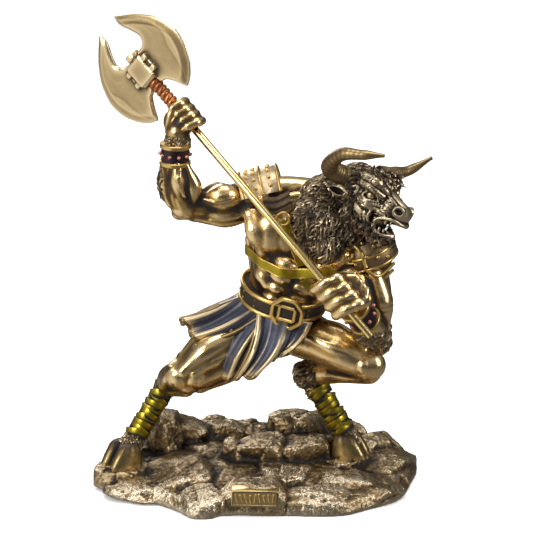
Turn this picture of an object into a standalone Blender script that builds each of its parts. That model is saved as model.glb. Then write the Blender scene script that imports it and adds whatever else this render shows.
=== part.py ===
# Cast bronze minotaur on a rock base, swinging a two-handed double axe.
# Units are metres, +Z is up, and the origin is the middle of the base's flat underside.
import math
import random

import bmesh
import bpy
from mathutils import Matrix, Vector
from mathutils.bvhtree import BVHTree

MM = 0.001

# Driving dimensions
FIGURE_HEIGHT = 0.194  # from the soles to the top of the raised fist and the horns
STANDING_LEVEL = 0.0125  # mean height of the hoof soles above the underside
BASE_LENGTH = 0.190
BASE_DEPTH = 0.124
SLAB_THICKNESS = 0.0085
CLEARANCE = 0.0003  # gap between pieces that touch
SHAFT_DIAMETER = 0.0044
SHAFT_BELOW_HAND = 0.0278  # from the middle of the lower fist to the end
BINDING_DIAMETER = 0.0066
BINDING_END = 0.0085  # from the middle of the upper fist to the binding
HEAD_ABOVE_HAND = 0.034  # from the middle of the upper fist to the middle of the socket
SOCKET_LENGTH = 0.0140
SOCKET_WIDTH = 0.0130
SOCKET_DEPTH = 0.0096
KNOB_DIAMETER = 0.0082
KNOB_LENGTH = 0.0046
BLADE_REACH = 0.035  # from the shaft's axis to the cutting edge
BLADE_THICKNESS = 0.0036
EDGE_THICKNESS = 0.0010
BLADE_TURN = math.radians(30)  # turn of the blades about the shaft
RIVET_SIZE = 0.0034
RIVET_HEIGHT = 0.0024
PLATE_WIDTH = 0.0265
PLATE_HEIGHT = 0.0098
FIGURE_FACES = 6200
CLAY_VOXEL = 0.00105

# The figure is laid out in millimetres of this height, from the base's underside
MODEL_HEIGHT = 194.0
MODEL_LEVEL = 12.5
SCALE = FIGURE_HEIGHT / (MODEL_HEIGHT * MM)


def at(x, y, z):
    """A point of the figure's layout, in metres."""
    return Vector((x, y, z - MODEL_LEVEL)) * SCALE * MM + Vector((0, 0, STANDING_LEVEL))


def size(length):
    """A length of the figure's layout, in metres."""
    return length * SCALE * MM


# Joints of the skeleton. Right and left are the figure's own, and it looks towards -Y and +X.
PELVIS = at(10, 3, 95)
BELLY = at(15, 1, 112)
RIBS = at(21, 1, 128)
CHEST = at(28, 1, 147)
NECK = at(40, -2, 164)
R_SHOULDER = at(-2, 2, 168)
R_ELBOW = at(-40, -3, 166)
R_WRIST = at(-44, -9, 203.5)
R_GRIP = at(-40.6, -6, 217.3)
L_SHOULDER = at(62, -8, 139)
L_ELBOW = at(67, -14, 92)
L_WRIST = at(54, -38, 116)
L_GRIP = at(44.6, -44, 123.3)
R_HIP = at(-3, 3, 91)
R_KNEE = at(-44, -12, 68)
R_HOCK = at(-54, 9, 53)
R_FETLOCK = at(-71, 2, 26)
R_HOOF = at(-78, -6, 10.5)
L_HIP = at(24, 3, 89)
L_KNEE = at(63, -19, 76)
L_HOCK = at(31, 8, 61)
L_FETLOCK = at(50.5, 4, 28)
L_HOOF = at(53, 1, 14)
SKULL = at(58.4, -16, 176)

# Frames that the forms are turned to
FRONT = Vector((0, -1, 0))
UP = Vector((0, 0, 1))
SHAFT_AXIS = (L_GRIP - R_GRIP).normalized()  # runs down from the axe head
TOWARDS_FRONT = (FRONT - SHAFT_AXIS * SHAFT_AXIS.dot(FRONT)).normalized()
ACROSS_SHAFT = TOWARDS_FRONT.cross(SHAFT_AXIS).normalized()  # up and to +X
BLADE_ACROSS = ACROSS_SHAFT * math.cos(BLADE_TURN) + TOWARDS_FRONT * math.sin(BLADE_TURN)
TORSO_SIDE = Vector((0.93, 0, -0.37)).normalized()
HEAD_FORWARD = Vector((0.761, -0.597, -0.259)).normalized()
HEAD_RIGHT = Vector((-0.553, -0.803, 0.222)).normalized()
HEAD_UP = HEAD_RIGHT.cross(HEAD_FORWARD).normalized()


def head(forward, up, right):
    """A point in the head's own frame, in layout millimetres from the middle of the skull."""
    offset = HEAD_FORWARD * forward + HEAD_UP * up + HEAD_RIGHT * right
    return SKULL + offset * SCALE * MM


def grip(centre, along, front, across):
    """A point beside the shaft, in layout millimetres from the middle of a fist."""
    offset = SHAFT_AXIS * along + TOWARDS_FRONT * front + ACROSS_SHAFT * across
    return centre + offset * SCALE * MM


def new_object(name, bm, colour, roughness=0.4, metallic=0.9):
    mesh = bpy.data.meshes.new(name)
    bm.to_mesh(mesh)
    bm.free()
    obj = bpy.data.objects.new(name, mesh)
    bpy.context.scene.collection.objects.link(obj)
    material = bpy.data.materials.new(name + "_finish")
    material.use_nodes = True
    shader = material.node_tree.nodes["Principled BSDF"]
    shader.inputs["Base Color"].default_value = (*colour, 1)
    shader.inputs["Roughness"].default_value = roughness
    shader.inputs["Metallic"].default_value = metallic
    mesh.materials.append(material)
    return obj


def make_tools(name, forms):
    """Puts one hidden object for each form in a collection, for a Boolean modifier to use together."""
    collection = bpy.data.collections.new(name)
    bpy.context.scene.collection.children.link(collection)
    for number, bm in enumerate(forms):
        mesh = bpy.data.meshes.new(f"{name}_{number}")
        bmesh.ops.recalc_face_normals(bm, faces=bm.faces)
        bm.to_mesh(mesh)
        bm.free()
        obj = bpy.data.objects.new(f"{name}_{number}", mesh)
        obj.hide_render = True
        obj.display_type = "WIRE"
        collection.objects.link(obj)
    return collection


def combine(obj, operation, collection):
    modifier = obj.modifiers.new(collection.name, "BOOLEAN")
    modifier.operation = operation
    modifier.operand_type = "COLLECTION"
    modifier.collection = collection
    modifier.solver = "EXACT"


def smooth_path(points, steps):
    """Points of a Catmull-Rom curve through the given ones."""
    ends = [points[0] * 2 - points[1], *points, points[-1] * 2 - points[-2]]
    made = []
    for i in range(len(points) - 1):
        p0, p1, p2, p3 = ends[i : i + 4]
        for step in range(steps):
            t = step / steps
            curve = p1 * 2 + (p2 - p0) * t + (p0 * 2 - p1 * 5 + p2 * 4 - p3) * t * t
            made.append((curve + (p1 * 3 - p0 - p2 * 3 + p3) * t**3) / 2)
    made.append(points[-1])
    return made


def spread(values, count):
    """The values, read with easing at evenly spaced places."""
    made = []
    for i in range(count):
        place = i / (count - 1) * (len(values) - 1)
        low = min(int(place), len(values) - 2)
        t = place - low
        t = t * t * (3 - 2 * t)
        made.append(values[low] * (1 - t) + values[low + 1] * t)
    return made


def close_loops(bm, loops):
    """Skins a row of equal loops of vertices and closes both ends."""
    count = len(loops[0])
    for low, high in zip(loops, loops[1:]):
        for k in range(count):
            j = (k + 1) % count
            bm.faces.new((low[k], low[j], high[j], high[k]))
    bm.faces.new(list(reversed(loops[0])))
    bm.faces.new(loops[-1])


def tube(bm, points, radii, wide=1.0, side=UP, sides=16, steps=5):
    """A closed form along a curve, with an elliptical section, wider along side, and rounded ends."""
    path = smooth_path(points, steps)
    radius = spread([size(r) for r in radii], len(path))
    widths = spread(wide if isinstance(wide, list) else [wide, wide], len(path))
    rings = []
    for i, centre in enumerate(path):
        tangent = (path[min(i + 1, len(path) - 1)] - path[max(i - 1, 0)]).normalized()
        across = (side - tangent * side.dot(tangent)).normalized()
        rings.append((centre, tangent, across, radius[i], widths[i]))
    cap = [math.radians(angle) for angle in (65, 40, 18)]
    centre, tangent, across, r, w = rings[0]
    start = [(centre - tangent * r * math.sin(a), tangent, across, r * math.cos(a), w) for a in cap]
    centre, tangent, across, r, w = rings[-1]
    cap.reverse()
    end = [(centre + tangent * r * math.sin(a), tangent, across, r * math.cos(a), w) for a in cap]
    loops = []
    for centre, tangent, across, r, w in [*start, *rings, *end]:
        other = tangent.cross(across)
        angles = [2 * math.pi * k / sides for k in range(sides)]
        ring = [centre + across * r * w * math.cos(a) + other * r * math.sin(a) for a in angles]
        loops.append([bm.verts.new(p) for p in ring])
    close_loops(bm, loops)


def ball(bm, centre, semi, x_axis=Vector((1, 0, 0)), z_axis=UP):
    """An ellipsoid with its semi-axes, in layout millimetres, along x_axis, across both, and along z_axis."""
    x = x_axis.normalized()
    y = z_axis.cross(x).normalized()
    turn = Matrix((x, y, x.cross(y))).transposed().to_4x4()
    scale = Matrix.Diagonal((*[size(s) for s in semi], 1))
    matrix = Matrix.Translation(centre) @ turn @ scale
    bmesh.ops.create_uvsphere(bm, u_segments=20, v_segments=14, radius=1, matrix=matrix)


def slab(bm, grid, thickness):
    """A closed sheet of even thickness over a grid of points."""
    half = size(thickness) / 2
    rows = len(grid)
    columns = len(grid[0])
    sides = []
    for direction in (1, -1):
        layer = []
        for i in range(rows):
            row = []
            for j in range(columns):
                down = grid[min(i + 1, rows - 1)][j] - grid[max(i - 1, 0)][j]
                along = grid[i][min(j + 1, columns - 1)] - grid[i][max(j - 1, 0)]
                normal = along.cross(down).normalized()
                row.append(bm.verts.new(grid[i][j] + normal * half * direction))
            layer.append(row)
        sides.append(layer)
    for layer in sides:
        for i in range(rows - 1):
            for j in range(columns - 1):
                bm.faces.new((layer[i][j], layer[i + 1][j], layer[i + 1][j + 1], layer[i][j + 1]))
    last_row = rows - 1
    last_column = columns - 1
    border = [(0, j) for j in range(last_column)] + [(i, last_column) for i in range(last_row)]
    border += [(last_row, j) for j in range(last_column, 0, -1)] + [(i, 0) for i in range(last_row, 0, -1)]
    for (i, j), (k, m) in zip(border, border[1:] + border[:1]):
        bm.faces.new((sides[0][i][j], sides[0][k][m], sides[1][k][m], sides[1][i][j]))


def cloth(bm, top, hem, bulge, folds, depth, phase=0.0, columns=30, rows=16):
    """Hanging cloth between two curves, with folds that deepen towards its hem."""
    upper = smooth_path(top, columns // (len(top) - 1))
    lower = smooth_path(hem, columns // (len(hem) - 1))
    grid = []
    for i in range(rows + 1):
        v = i / rows
        row = []
        for j, (a, b) in enumerate(zip(upper, lower)):
            wave = math.sin(2 * math.pi * (folds * j / (len(upper) - 1) + phase + 0.12 * v))
            out = bulge * math.sin(math.pi * v) + FRONT * depth * wave * (0.15 + 0.85 * v)
            row.append(a.lerp(b, v) + out * SCALE * MM)
        grid.append(row)
    slab(bm, grid, 2.2)


def band(bm, centre, normal, semi_wide, semi_deep, side, height, thickness, sides=36):
    """A band around a limb or waist: an elliptical ring with a flat face."""
    across = (side - normal * side.dot(normal)).normalized()
    other = normal.cross(across)
    grid = []
    for inset, lift in ((0, -1), (0, 1), (1, 1), (1, -1)):
        ring = []
        for k in range(sides):
            a = 2 * math.pi * k / sides
            wide = size(semi_wide - thickness * inset)
            deep = size(semi_deep - thickness * inset)
            point = centre + across * wide * math.cos(a) + other * deep * math.sin(a)
            ring.append(bm.verts.new(point + normal * lift * size(height) / 2))
        grid.append(ring)
    for n in range(4):
        low, high = grid[n], grid[(n + 1) % 4]
        for k in range(sides):
            j = (k + 1) % sides
            bm.faces.new((low[k], low[j], high[j], high[k]))


# Body
def add_torso(bm):
    trunk = [at(9, 3, 86), PELVIS, BELLY, RIBS, CHEST, at(33, 0, 160)]
    tube(bm, trunk, [13, 16, 16, 17.5, 19, 12], [1.3, 1.35, 1.38, 1.33, 1.45, 1.6], TORSO_SIDE, 28)
    ball(bm, at(28, 2, 149), (30, 19, 20), TORSO_SIDE)
    ball(bm, at(11, -14, 152), (11, 6.5, 12.5), Vector((0.8, 0, 0.6)))  # right breast
    ball(bm, at(42, -16, 138), (13, 8, 11), TORSO_SIDE)  # left breast
    for row, (x, z) in enumerate(((22, 130), (20, 123), (18, 116))):
        for column in (-1, 1):
            centre = at(x, -19 + row * 0.6, z) + TORSO_SIDE * size(5.6 * column)
            ball(bm, centre, (5.3, 4.4, 3.8), TORSO_SIDE)
    tube(bm, [at(3, -3, 133), at(1, -7, 124), at(5, -12, 115)], [5, 6, 5])
    tube(bm, [at(47, -6, 126), at(42, -9, 118), at(35, -12, 108)], [5, 7, 5])
    tube(bm, [at(4, 5, 160), at(3, 5, 148), at(4, 4, 134), at(7, 5, 120)], [7, 7.5, 7, 5])
    tube(bm, [at(56, 3, 134), at(52, 3, 122), at(44, 4, 112)], [8, 7, 5])
    for rib in range(4):
        path = [at(-1 + rib, 0, 149 - 6.5 * rib), at(1 + rib, -9, 145 - 6.5 * rib)]
        path.append(at(7 + rib, -15, 140 - 6 * rib))
        tube(bm, path, [2.2, 3.2, 2.0])
    ball(bm, at(24, 8, 170), (17, 10, 8.5), TORSO_SIDE)
    tube(bm, [at(38, 6, 170), at(18, 7, 173), at(2, 5, 172)], [8.5, 7.5, 7])
    tube(bm, [at(14, 14, 112), at(20, 17, 138), at(24, 14, 162)], [8, 9, 9])
    tube(bm, [at(26, 14, 110), at(40, 17, 132), at(46, 12, 152)], [8, 9, 9])
    ball(bm, at(1, 12, 92), (13, 12, 13))
    ball(bm, at(22, 12, 90), (13, 12, 12))
    tube(bm, [CHEST, NECK, at(50, -10, 172)], [17, 16, 12])


def add_arms(bm):
    ball(bm, at(-4, 2, 169.5), (12, 12, 12))
    tube(bm, [R_SHOULDER, at(-22, 0, 165.5), R_ELBOW], [11.5, 11, 8.8])
    tube(bm, [at(-8, -4, 170), at(-21, -6, 170.5), at(-33, -6, 168)], [5, 7.2, 4.5])
    tube(bm, [at(-6, 3, 161), at(-20, 0, 159.5), at(-36, -2, 161)], [5.5, 7, 5.5])
    ball(bm, R_ELBOW, (9.6, 9, 9.2))
    tube(bm, [R_ELBOW, at(-43.5, -5, 178), at(-45, -8, 192), R_WRIST], [9.2, 10, 8, 7.2])
    tube(bm, [at(-35, -6, 170), at(-37, -9, 180), at(-42, -10, 192)], [4, 5.0, 4])
    tube(bm, [R_WRIST, grip(R_GRIP, 5, 3.5, -8)], [7.2, 7.0])
    ball(bm, at(62, -8, 139), (13.5, 13, 13.5))
    tube(bm, [L_SHOULDER, at(67, -11, 117), L_ELBOW], [11, 9.2, 8.5])
    tube(bm, [at(62, -15, 126), at(64, -18, 112), at(65, -20, 99)], [4, 5.6, 4.5])
    tube(bm, [at(70, -3, 128), at(71.5, -5, 112), at(70, -8, 98)], [5, 5.8, 5])
    tube(bm, [at(69, -12, 88.5), L_ELBOW, at(61, -25, 103), L_WRIST], [7.5, 9.8, 9.4, 6.6])
    tube(bm, [L_WRIST, grip(L_GRIP, 3, -2, 5)], [6.6, 6.8])


def add_right_fist(bm):
    """The raised fist shows its back, and the fingers close over the upper side of the shaft."""
    ball(bm, grip(R_GRIP, 1.2, 3.6, -5), (9.5, 5.0, 8), SHAFT_AXIS, ACROSS_SHAFT)
    for low, high in ((-6.0, -5.4), (-1.6, -0.6), (2.8, 3.8), (7.4, 8.8)):
        knuckle = grip(R_GRIP, low, 7.0, -0.5)
        tube(bm, [grip(R_GRIP, 2 + low * 0.35, 4.6, -11), knuckle], [1.9, 2.2], sides=10)
        bent = grip(R_GRIP, high, 4.6, 4.4)
        path = [knuckle, bent, grip(R_GRIP, high, -2.0, 5.6), grip(R_GRIP, low, -6.0, 1.5)]
        tube(bm, path, [2.6, 2.7, 2.5, 2.2], sides=10)
    thumb = [grip(R_GRIP, 2, -1, -9), grip(R_GRIP, -4, -5, -7), grip(R_GRIP, -8, -6.5, -1)]
    tube(bm, thumb, [3.6, 3.2, 2.5], sides=10)


def add_left_fist(bm):
    """The lower fist shows its fingers, which close across the front of the shaft."""
    ball(bm, grip(L_GRIP, 0, -3.5, 4.5), (11.5, 5.5, 7), SHAFT_AXIS, ACROSS_SHAFT)
    for along in (-10, -3.9, 2.2, 8.4):
        path = [
            grip(L_GRIP, along + 3.0, -1.0, 9.6),
            grip(L_GRIP, along + 2.0, 4.8, 7.6),
            grip(L_GRIP, along - 0.5, 6.4, 0),
            grip(L_GRIP, along - 1.6, 4.2, -6.2),
            grip(L_GRIP, along - 1.6, -1.0, -6.8),
        ]
        tube(bm, path, [3.2, 3.2, 2.9, 2.7, 2.3], sides=10, steps=4)
    thumb = [grip(L_GRIP, -6, -6, 2), grip(L_GRIP, -11, -5, -4), grip(L_GRIP, -11.5, 0.5, -8.5)]
    tube(bm, thumb, [3.4, 3.1, 2.5], sides=10)


def add_legs(bm):
    tube(bm, [R_HIP, at(-24, -5, 80), R_KNEE], [15, 14.5, 9.5])
    tube(bm, [at(-12, -9, 90), at(-28, -13, 83), at(-41, -17, 72)], [7, 8, 5.5])
    tube(bm, [at(0, -4, 83), at(-16, -9, 72.5), at(-34, -14, 64)], [7, 8, 6])
    ball(bm, at(-45, -16, 67.5), (7.2, 6.5, 7.5))
    ball(bm, at(-40, -15, 63), (6, 6, 6))
    tube(bm, [R_KNEE, at(-50, 0, 62), R_HOCK], [9, 8.5, 6.5])
    tube(bm, [R_HOCK, at(-63, 6, 38), R_FETLOCK, at(-75, -2, 20)], [5.8, 5.4, 6.0, 7.0])
    tube(bm, [L_HIP, at(43, -11, 84.5), L_KNEE], [14.5, 12.5, 9.8])
    tube(bm, [at(22, 2, 85), at(43, -6, 77.5), at(56, -14, 73)], [8, 7.5, 6])
    tube(bm, [at(28, -8, 92), at(44, -16, 89), at(58, -21, 83)], [6, 6.6, 5])
    ball(bm, at(64.5, -20, 76), (9, 8.5, 9.3))
    tube(bm, [at(64, -18, 72), at(48, -5, 68), L_HOCK], [7.8, 7.2, 7.2])
    ball(bm, at(30.5, 8, 61.5), (8.8, 8.5, 8.2))
    tube(bm, [L_HOCK, at(41, 6, 42), L_FETLOCK, at(53, 2, 22)], [6.4, 6.0, 6.6, 7.4])


def add_head(bm):
    """The roaring bull's head: skull, brow, muzzle, open jaws, ears and horns."""
    ball(bm, head(-3, 1, 0), (14.5, 13, 12), HEAD_FORWARD, HEAD_UP)
    ball(bm, head(-1, 8, 0), (11, 10, 7), HEAD_FORWARD, HEAD_UP)
    tube(bm, [head(5, 1.5, 0), head(17, -0.8, 0), head(27, -1.5, 0)], [10, 7, 5.8], 1.15, HEAD_RIGHT)
    ball(bm, head(28.5, -1.2, 0), (4.6, 8.0, 5.4), HEAD_FORWARD, HEAD_UP)
    tube(bm, [head(3, -11, 0), head(15, -15, 0), head(25, -15.4, 0)], [7.5, 4.4, 3.4], 1.3, HEAD_RIGHT)
    for right in (-1, 1):
        brow = [head(6, 11, 10 * right), head(13, 10, 9.5 * right), head(17.5, 7, 5 * right)]
        tube(bm, brow, [3.0, 3.6, 2.4])
        ball(bm, head(11.5, 3, 9.8 * right), (2.8, 2.8, 2.8))
        ball(bm, head(7, -6, 8 * right), (8, 4.5, 7.5), HEAD_FORWARD, HEAD_UP)
        ball(bm, head(28.5, -1, 6 * right), (3.8, 3.0, 4.2), HEAD_FORWARD, HEAD_UP)
        ear = [head(-2, -2, 12 * right), head(-6, -2.5, 17 * right), head(-11, -2, 21 * right)]
        tube(bm, ear, [2.4, 2.8, 0.9], 1.7, HEAD_UP)
    near_horn = [head(-8, 5, 9), head(-12, 9.5, 23), head(-3, 19.8, 31), head(9, 24.5, 30.5)]
    near_horn.append(head(19.5, 29, 26))
    far_horn = [head(2, 12, -8), head(6, 14.5, -15), head(9.5, 18.5, -25), head(17.6, 31, -32)]
    tube(bm, near_horn, [5.8, 5.0, 3.9, 3.0, 0.8])
    tube(bm, far_horn, [4.6, 3.9, 3.1, 0.8])


def add_mane(bm):
    """The shaggy neck: one mass, and rows of pointed locks that lie down and back over it."""
    masses = (
        (at(42, -4, 169), (18, 17, 14)),
        (at(35, -11, 158), (17, 18, 17)),
        (at(37, -19, 148), (13, 12, 11)),
        (at(50, -13, 156), (12, 13, 14)),
    )
    pick = random.Random(7)
    for centre, semi in masses:
        ball(bm, centre, semi)
        for _ in range(34):
            direction = Vector((pick.uniform(-1, 1), pick.uniform(-1, 0.8), pick.uniform(-1, 1)))
            direction.normalize()
            root = centre + Vector([size(s) * d for s, d in zip(semi, direction)])
            fall = Vector((-0.5, -0.1, -1)) + Vector((pick.uniform(-0.5, 0.5), pick.uniform(-0.5, 0.5), 0))
            fall = (fall - direction * fall.dot(direction)).normalized()
            path = [root - fall * size(3), root + direction * size(0.4)]
            path.append(root + fall * size(5) + direction * size(0.8))
            tube(bm, path, [1.8, 2.0, 0.6], sides=6, steps=2)


# Dress
class Skin:
    """The surface of the body, met from the front."""

    def __init__(self, bm):
        self.tree = BVHTree.FromBMesh(bm)

    def front(self, x, z, lift=1.0):
        start = at(x, -90, z)
        hit = self.tree.ray_cast(start, -FRONT)[0]
        return hit + FRONT * size(lift)


def add_belt_and_harness(bm, skin):
    waist = at(15, -2, 113)
    lean = Vector((0.167, -0.207, 0.964)).normalized()
    side = Vector((0.942, -0.2345, -0.213))
    band(bm, waist, lean, 24.2, 20.6, side, 9.6, 6)
    for edge in (-4.4, 4.4):
        band(bm, waist + lean * size(edge), lean, 25.2, 21.6, side, 1.8, 6)
    buckle = at(17, -23.5, 108.5)
    ball(bm, buckle, (8.2, 2.4, 8.2), side, lean)
    for ring, depth in ((8.0, 1.3), (4.4, 1.1)):
        corners = [math.radians(45 * k + 22.5) for k in range(9)]
        face = FRONT * size(1.8)
        turned = [side * math.cos(a) + lean * math.sin(a) for a in corners]
        path = [buckle + face + direction * size(ring) for direction in turned]
        tube(bm, path, [depth] * 9, sides=8, steps=1)
    chest = [at(-3, 8, 138), at(-4.5, 2, 137.5), skin.front(1.8, 135), skin.front(10.2, 133.7)]
    chest += [skin.front(19, 133.5), skin.front(25.5, 135)]
    tube(bm, chest, [1.5] * 6, 2.0, UP)
    inner = [skin.front(25.5, 135), skin.front(31, 137), skin.front(41, 139), skin.front(51, 142.6)]
    tube(bm, inner, [1.5] * 4, 2.2, UP)
    upper = [skin.front(24.3, 140), skin.front(18.7, 151.8), skin.front(13, 161)]
    tube(bm, upper, [1.5] * 3, 2.0, Vector((1, 0, 0.4)))
    for x, z in ((25.5, 136), (52, 141), (14.5, 163)):
        ball(bm, skin.front(x, z), (3.8, 1.8, 3.8))


def add_shoulder_guards(bm):
    axis = Vector((0.97, 0, 0.24)).normalized()
    over = FRONT.cross(axis)
    stations = ((-6.5, 15.6), (-1, 16.2), (4.6, 17.6), (9.5, 16.0), (14.5, 15.4))
    angles = [math.radians(-22 + 11 * k) for k in range(21)]
    arcs = []
    for along, radius in stations:
        centre = at(0, 1, 168.5) + axis * size(along)
        directions = [FRONT * 0.95 * math.cos(a) + over * math.sin(a) for a in angles]
        arc = [centre + direction * size(radius) for direction in directions]
        arcs.append(arc)
    slab(bm, arcs, 1.8)
    for arc in arcs[::2]:
        tube(bm, arc, [1.3] * len(arc), sides=8, steps=1)
    ball(bm, at(11, -14, 167), (8.5, 4.5, 5.5), axis)
    tube(bm, [at(5, -17.5, 162.5), at(12, -19.5, 164), at(18, -19, 167)], [1.2] * 3, sides=8)
    ball(bm, at(63.5, -9, 140), (14, 14, 13.5))
    edges = (
        (at(52, -21, 149), at(58, -24, 143), at(61, -24, 134)),
        (at(60, -22.5, 133.5), at(68, -22.5, 130), at(77, -12, 134.5)),
        (at(60, -21, 129.5), at(68.5, -21, 126.5), at(76.5, -11, 130)),
    )
    for edge in edges:
        tube(bm, list(edge), [1.3] * 3, sides=8)


def add_wraps(bm):
    legs = ((R_HOCK.lerp(R_FETLOCK, 0.12), R_FETLOCK, 6.6), (L_HOCK.lerp(L_FETLOCK, 0.3), L_FETLOCK, 7.2))
    for top, bottom, radius in legs:
        direction = (bottom - top).normalized()
        for turn in range(6):
            lean = (direction + Vector((0.13 * (-1) ** turn, -0.1, 0))).normalized()
            band(bm, top.lerp(bottom, turn / 5), lean, radius, radius, FRONT, 3.2, 3, 20)
    arms = ((at(-45.6, -8, 191.5), at(-45.2, -9, 201.5), 7.7), (L_WRIST, at(60.5, -30, 106), 8.4))
    for low, high, radius in arms:
        direction = (high - low).normalized()
        band(bm, low.lerp(high, 0.5), direction, radius, radius, FRONT, 11, 4, 20)
        for end in (low, high):
            band(bm, end, direction, radius + 0.7, radius + 0.7, FRONT, 2.0, 4, 20)


def add_loincloth(bm):
    belt = [at(-10, 6, 111), at(-5, -8, 108), at(3, -15, 104)]
    cloth(bm, belt, [at(-43, 3, 97), at(-37, -6, 93), at(-31, -14, 88.5)], Vector((1, -2, -2)), 2.2, 2.0)
    belt = [at(-4, -10, 106), at(2, -14, 104), at(8, -17, 102)]
    cloth(bm, belt, [at(-24, -14, 73), at(-18, -18, 70), at(-11, -19, 72)], Vector((-3, -4, 0)), 2.0, 1.6)
    belt = [at(0, -17, 107), at(16, -21, 103), at(31, -18, 101)]
    cloth(bm, belt, [at(-12, -24, 71), at(-2, -27, 75), at(10, -25, 84)], Vector((3, -4, 0)), 2.4, 2.0, 0.2)
    belt = [at(-6, 16, 111), at(12, 20, 109), at(30, 14, 105)]
    cloth(bm, belt, [at(-30, 22, 78), at(-8, 28, 70), at(18, 26, 74)], Vector((0, 5, 0)), 3.0, 2.0)


def toes(ankle, toe_direction, grow=0.0, rise=10.5):
    """The two flat-soled toes of a hoof, side by side and wider at the ground, grown by a clearance."""
    forward = Vector(toe_direction).normalized()
    across = forward.cross(UP)
    sole = -grow / SCALE / MM
    sections = ((sole, -8.5, 12.5, 5.1), (4.5, -8.2, 10.5, 4.9), (rise, -7, 6, 4.3))
    forms = []
    for side in (-1, 1):
        bm = bmesh.new()
        loops = []
        for height, heel, toe, half in sections:
            centre = ankle + across * size(4.9 * side) + UP * size(height)
            outline = ((heel, -half), (heel, half), (toe * 0.5, half * 1.04), (toe, half * 0.35))
            outline += ((toe, -half * 0.35), (toe * 0.5, -half * 1.04))
            loop = []
            for a, b in outline:
                out = Vector((a - toe * 0.2, b, 0)).normalized() * grow
                loop.append(bm.verts.new(centre + forward * (size(a) + out.x) + across * (size(b) + out.y)))
            loops.append(loop)
        close_loops(bm, loops)
        forms.append(bm)
    return forms


def rod(start, end, radius, sides=24):
    """A plain round bar, closed by flat ends."""
    bm = bmesh.new()
    direction = (end - start).normalized()
    turn = direction.to_track_quat("Z", "Y").to_matrix().to_4x4()
    matrix = Matrix.Translation((start + end) / 2) @ turn
    length = (end - start).length
    bmesh.ops.create_cone(
        bm, cap_ends=True, segments=sides, radius1=radius, radius2=radius, depth=length, matrix=matrix
    )
    return bm


def make_figure(shaft_end, binding_end):
    bm = bmesh.new()
    for add in (add_torso, add_arms, add_right_fist, add_left_fist, add_legs, add_head, add_mane):
        add(bm)
    skin = Skin(bm)
    add_belt_and_harness(bm, skin)
    for add in (add_shoulder_guards, add_wraps, add_loincloth):
        add(bm)
    bmesh.ops.recalc_face_normals(bm, faces=bm.faces)
    figure = new_object("minotaur", bm, (0.42, 0.29, 0.13), 0.38)
    clay = figure.modifiers.new("clay", "REMESH")
    clay.mode = "VOXEL"
    clay.voxel_size = CLAY_VOXEL
    soften = figure.modifiers.new("soften", "SMOOTH")
    soften.factor = 0.5
    soften.iterations = 2
    cast = bpy.data.meshes.new_from_object(figure.evaluated_get(bpy.context.evaluated_depsgraph_get()))
    figure.modifiers.clear()
    figure.data = cast
    facets = figure.modifiers.new("facets", "DECIMATE")
    facets.ratio = FIGURE_FACES / (2 * len(cast.polygons))
    hooves = toes(R_HOOF, (-0.8, -0.6, 0)) + toes(L_HOOF, (0.95, -0.3, 0))
    combine(figure, "UNION", make_tools("hooves", hooves))
    bore = rod(binding_end, shaft_end + SHAFT_AXIS * CLEARANCE, SHAFT_DIAMETER / 2 + CLEARANCE)
    neck_top = R_GRIP - SHAFT_AXIS * HEAD_ABOVE_HAND
    neck = rod(neck_top, binding_end + SHAFT_AXIS * CLEARANCE, BINDING_DIAMETER / 2 + CLEARANCE)
    combine(figure, "DIFFERENCE", make_tools("shaft_bores", [bore, neck]))
    return figure


# Base
def outline_at(share, height):
    """The base's outline, as a loop of points at a height, drawn in by a share of its size."""
    half = BASE_LENGTH / 2
    deep = BASE_DEPTH / 2
    front = ((-1, 0.04), (-0.94, -0.29), (-0.78, -0.62), (-0.61, -0.67), (-0.47, -0.85), (-0.38, -1))
    front += ((-0.27, -1), (-0.19, -0.93), (0.1, -0.93), (0.48, -0.94), (0.66, -0.8), (0.86, -0.57))
    back = ((0.95, -0.18), (1, 0.12), (0.96, 0.41), (0.82, 0.68), (0.58, 0.86), (0.26, 0.96))
    back += ((-0.1, 1), (-0.47, 0.9), (-0.77, 0.7), (-0.95, 0.4))
    return [Vector((x * half * share, y * deep * share, height)) for x, y in front + back]


def rock(x, y, z, semi, seed, top=None, points=18):
    """A broken stone: the hull of points scattered over an ellipsoid, flat above a given level."""
    pick = random.Random(seed)
    bm = bmesh.new()
    for _ in range(points):
        d = Vector((pick.uniform(-1, 1), pick.uniform(-1, 1), pick.uniform(-1, 1))).normalized()
        d *= pick.uniform(0.94, 1.1)
        level = max(z + semi[2] * d.z, 2.0)
        if top:
            level = min(level, top)
        bm.verts.new(Vector((x + semi[0] * d.x, max(y + semi[1] * d.y, -58.5), level)) * MM)
    bmesh.ops.convex_hull(bm, input=bm.verts)
    loose = [v for v in bm.verts if not v.link_faces]
    bmesh.ops.delete(bm, geom=loose, context="VERTS")
    return bm


def block(centre, extent, turn=Matrix.Identity(4)):
    bm = bmesh.new()
    matrix = Matrix.Translation(centre) @ turn @ Matrix.Diagonal((*extent, 1))
    bmesh.ops.create_cube(bm, size=1, matrix=matrix)
    return bm


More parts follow.
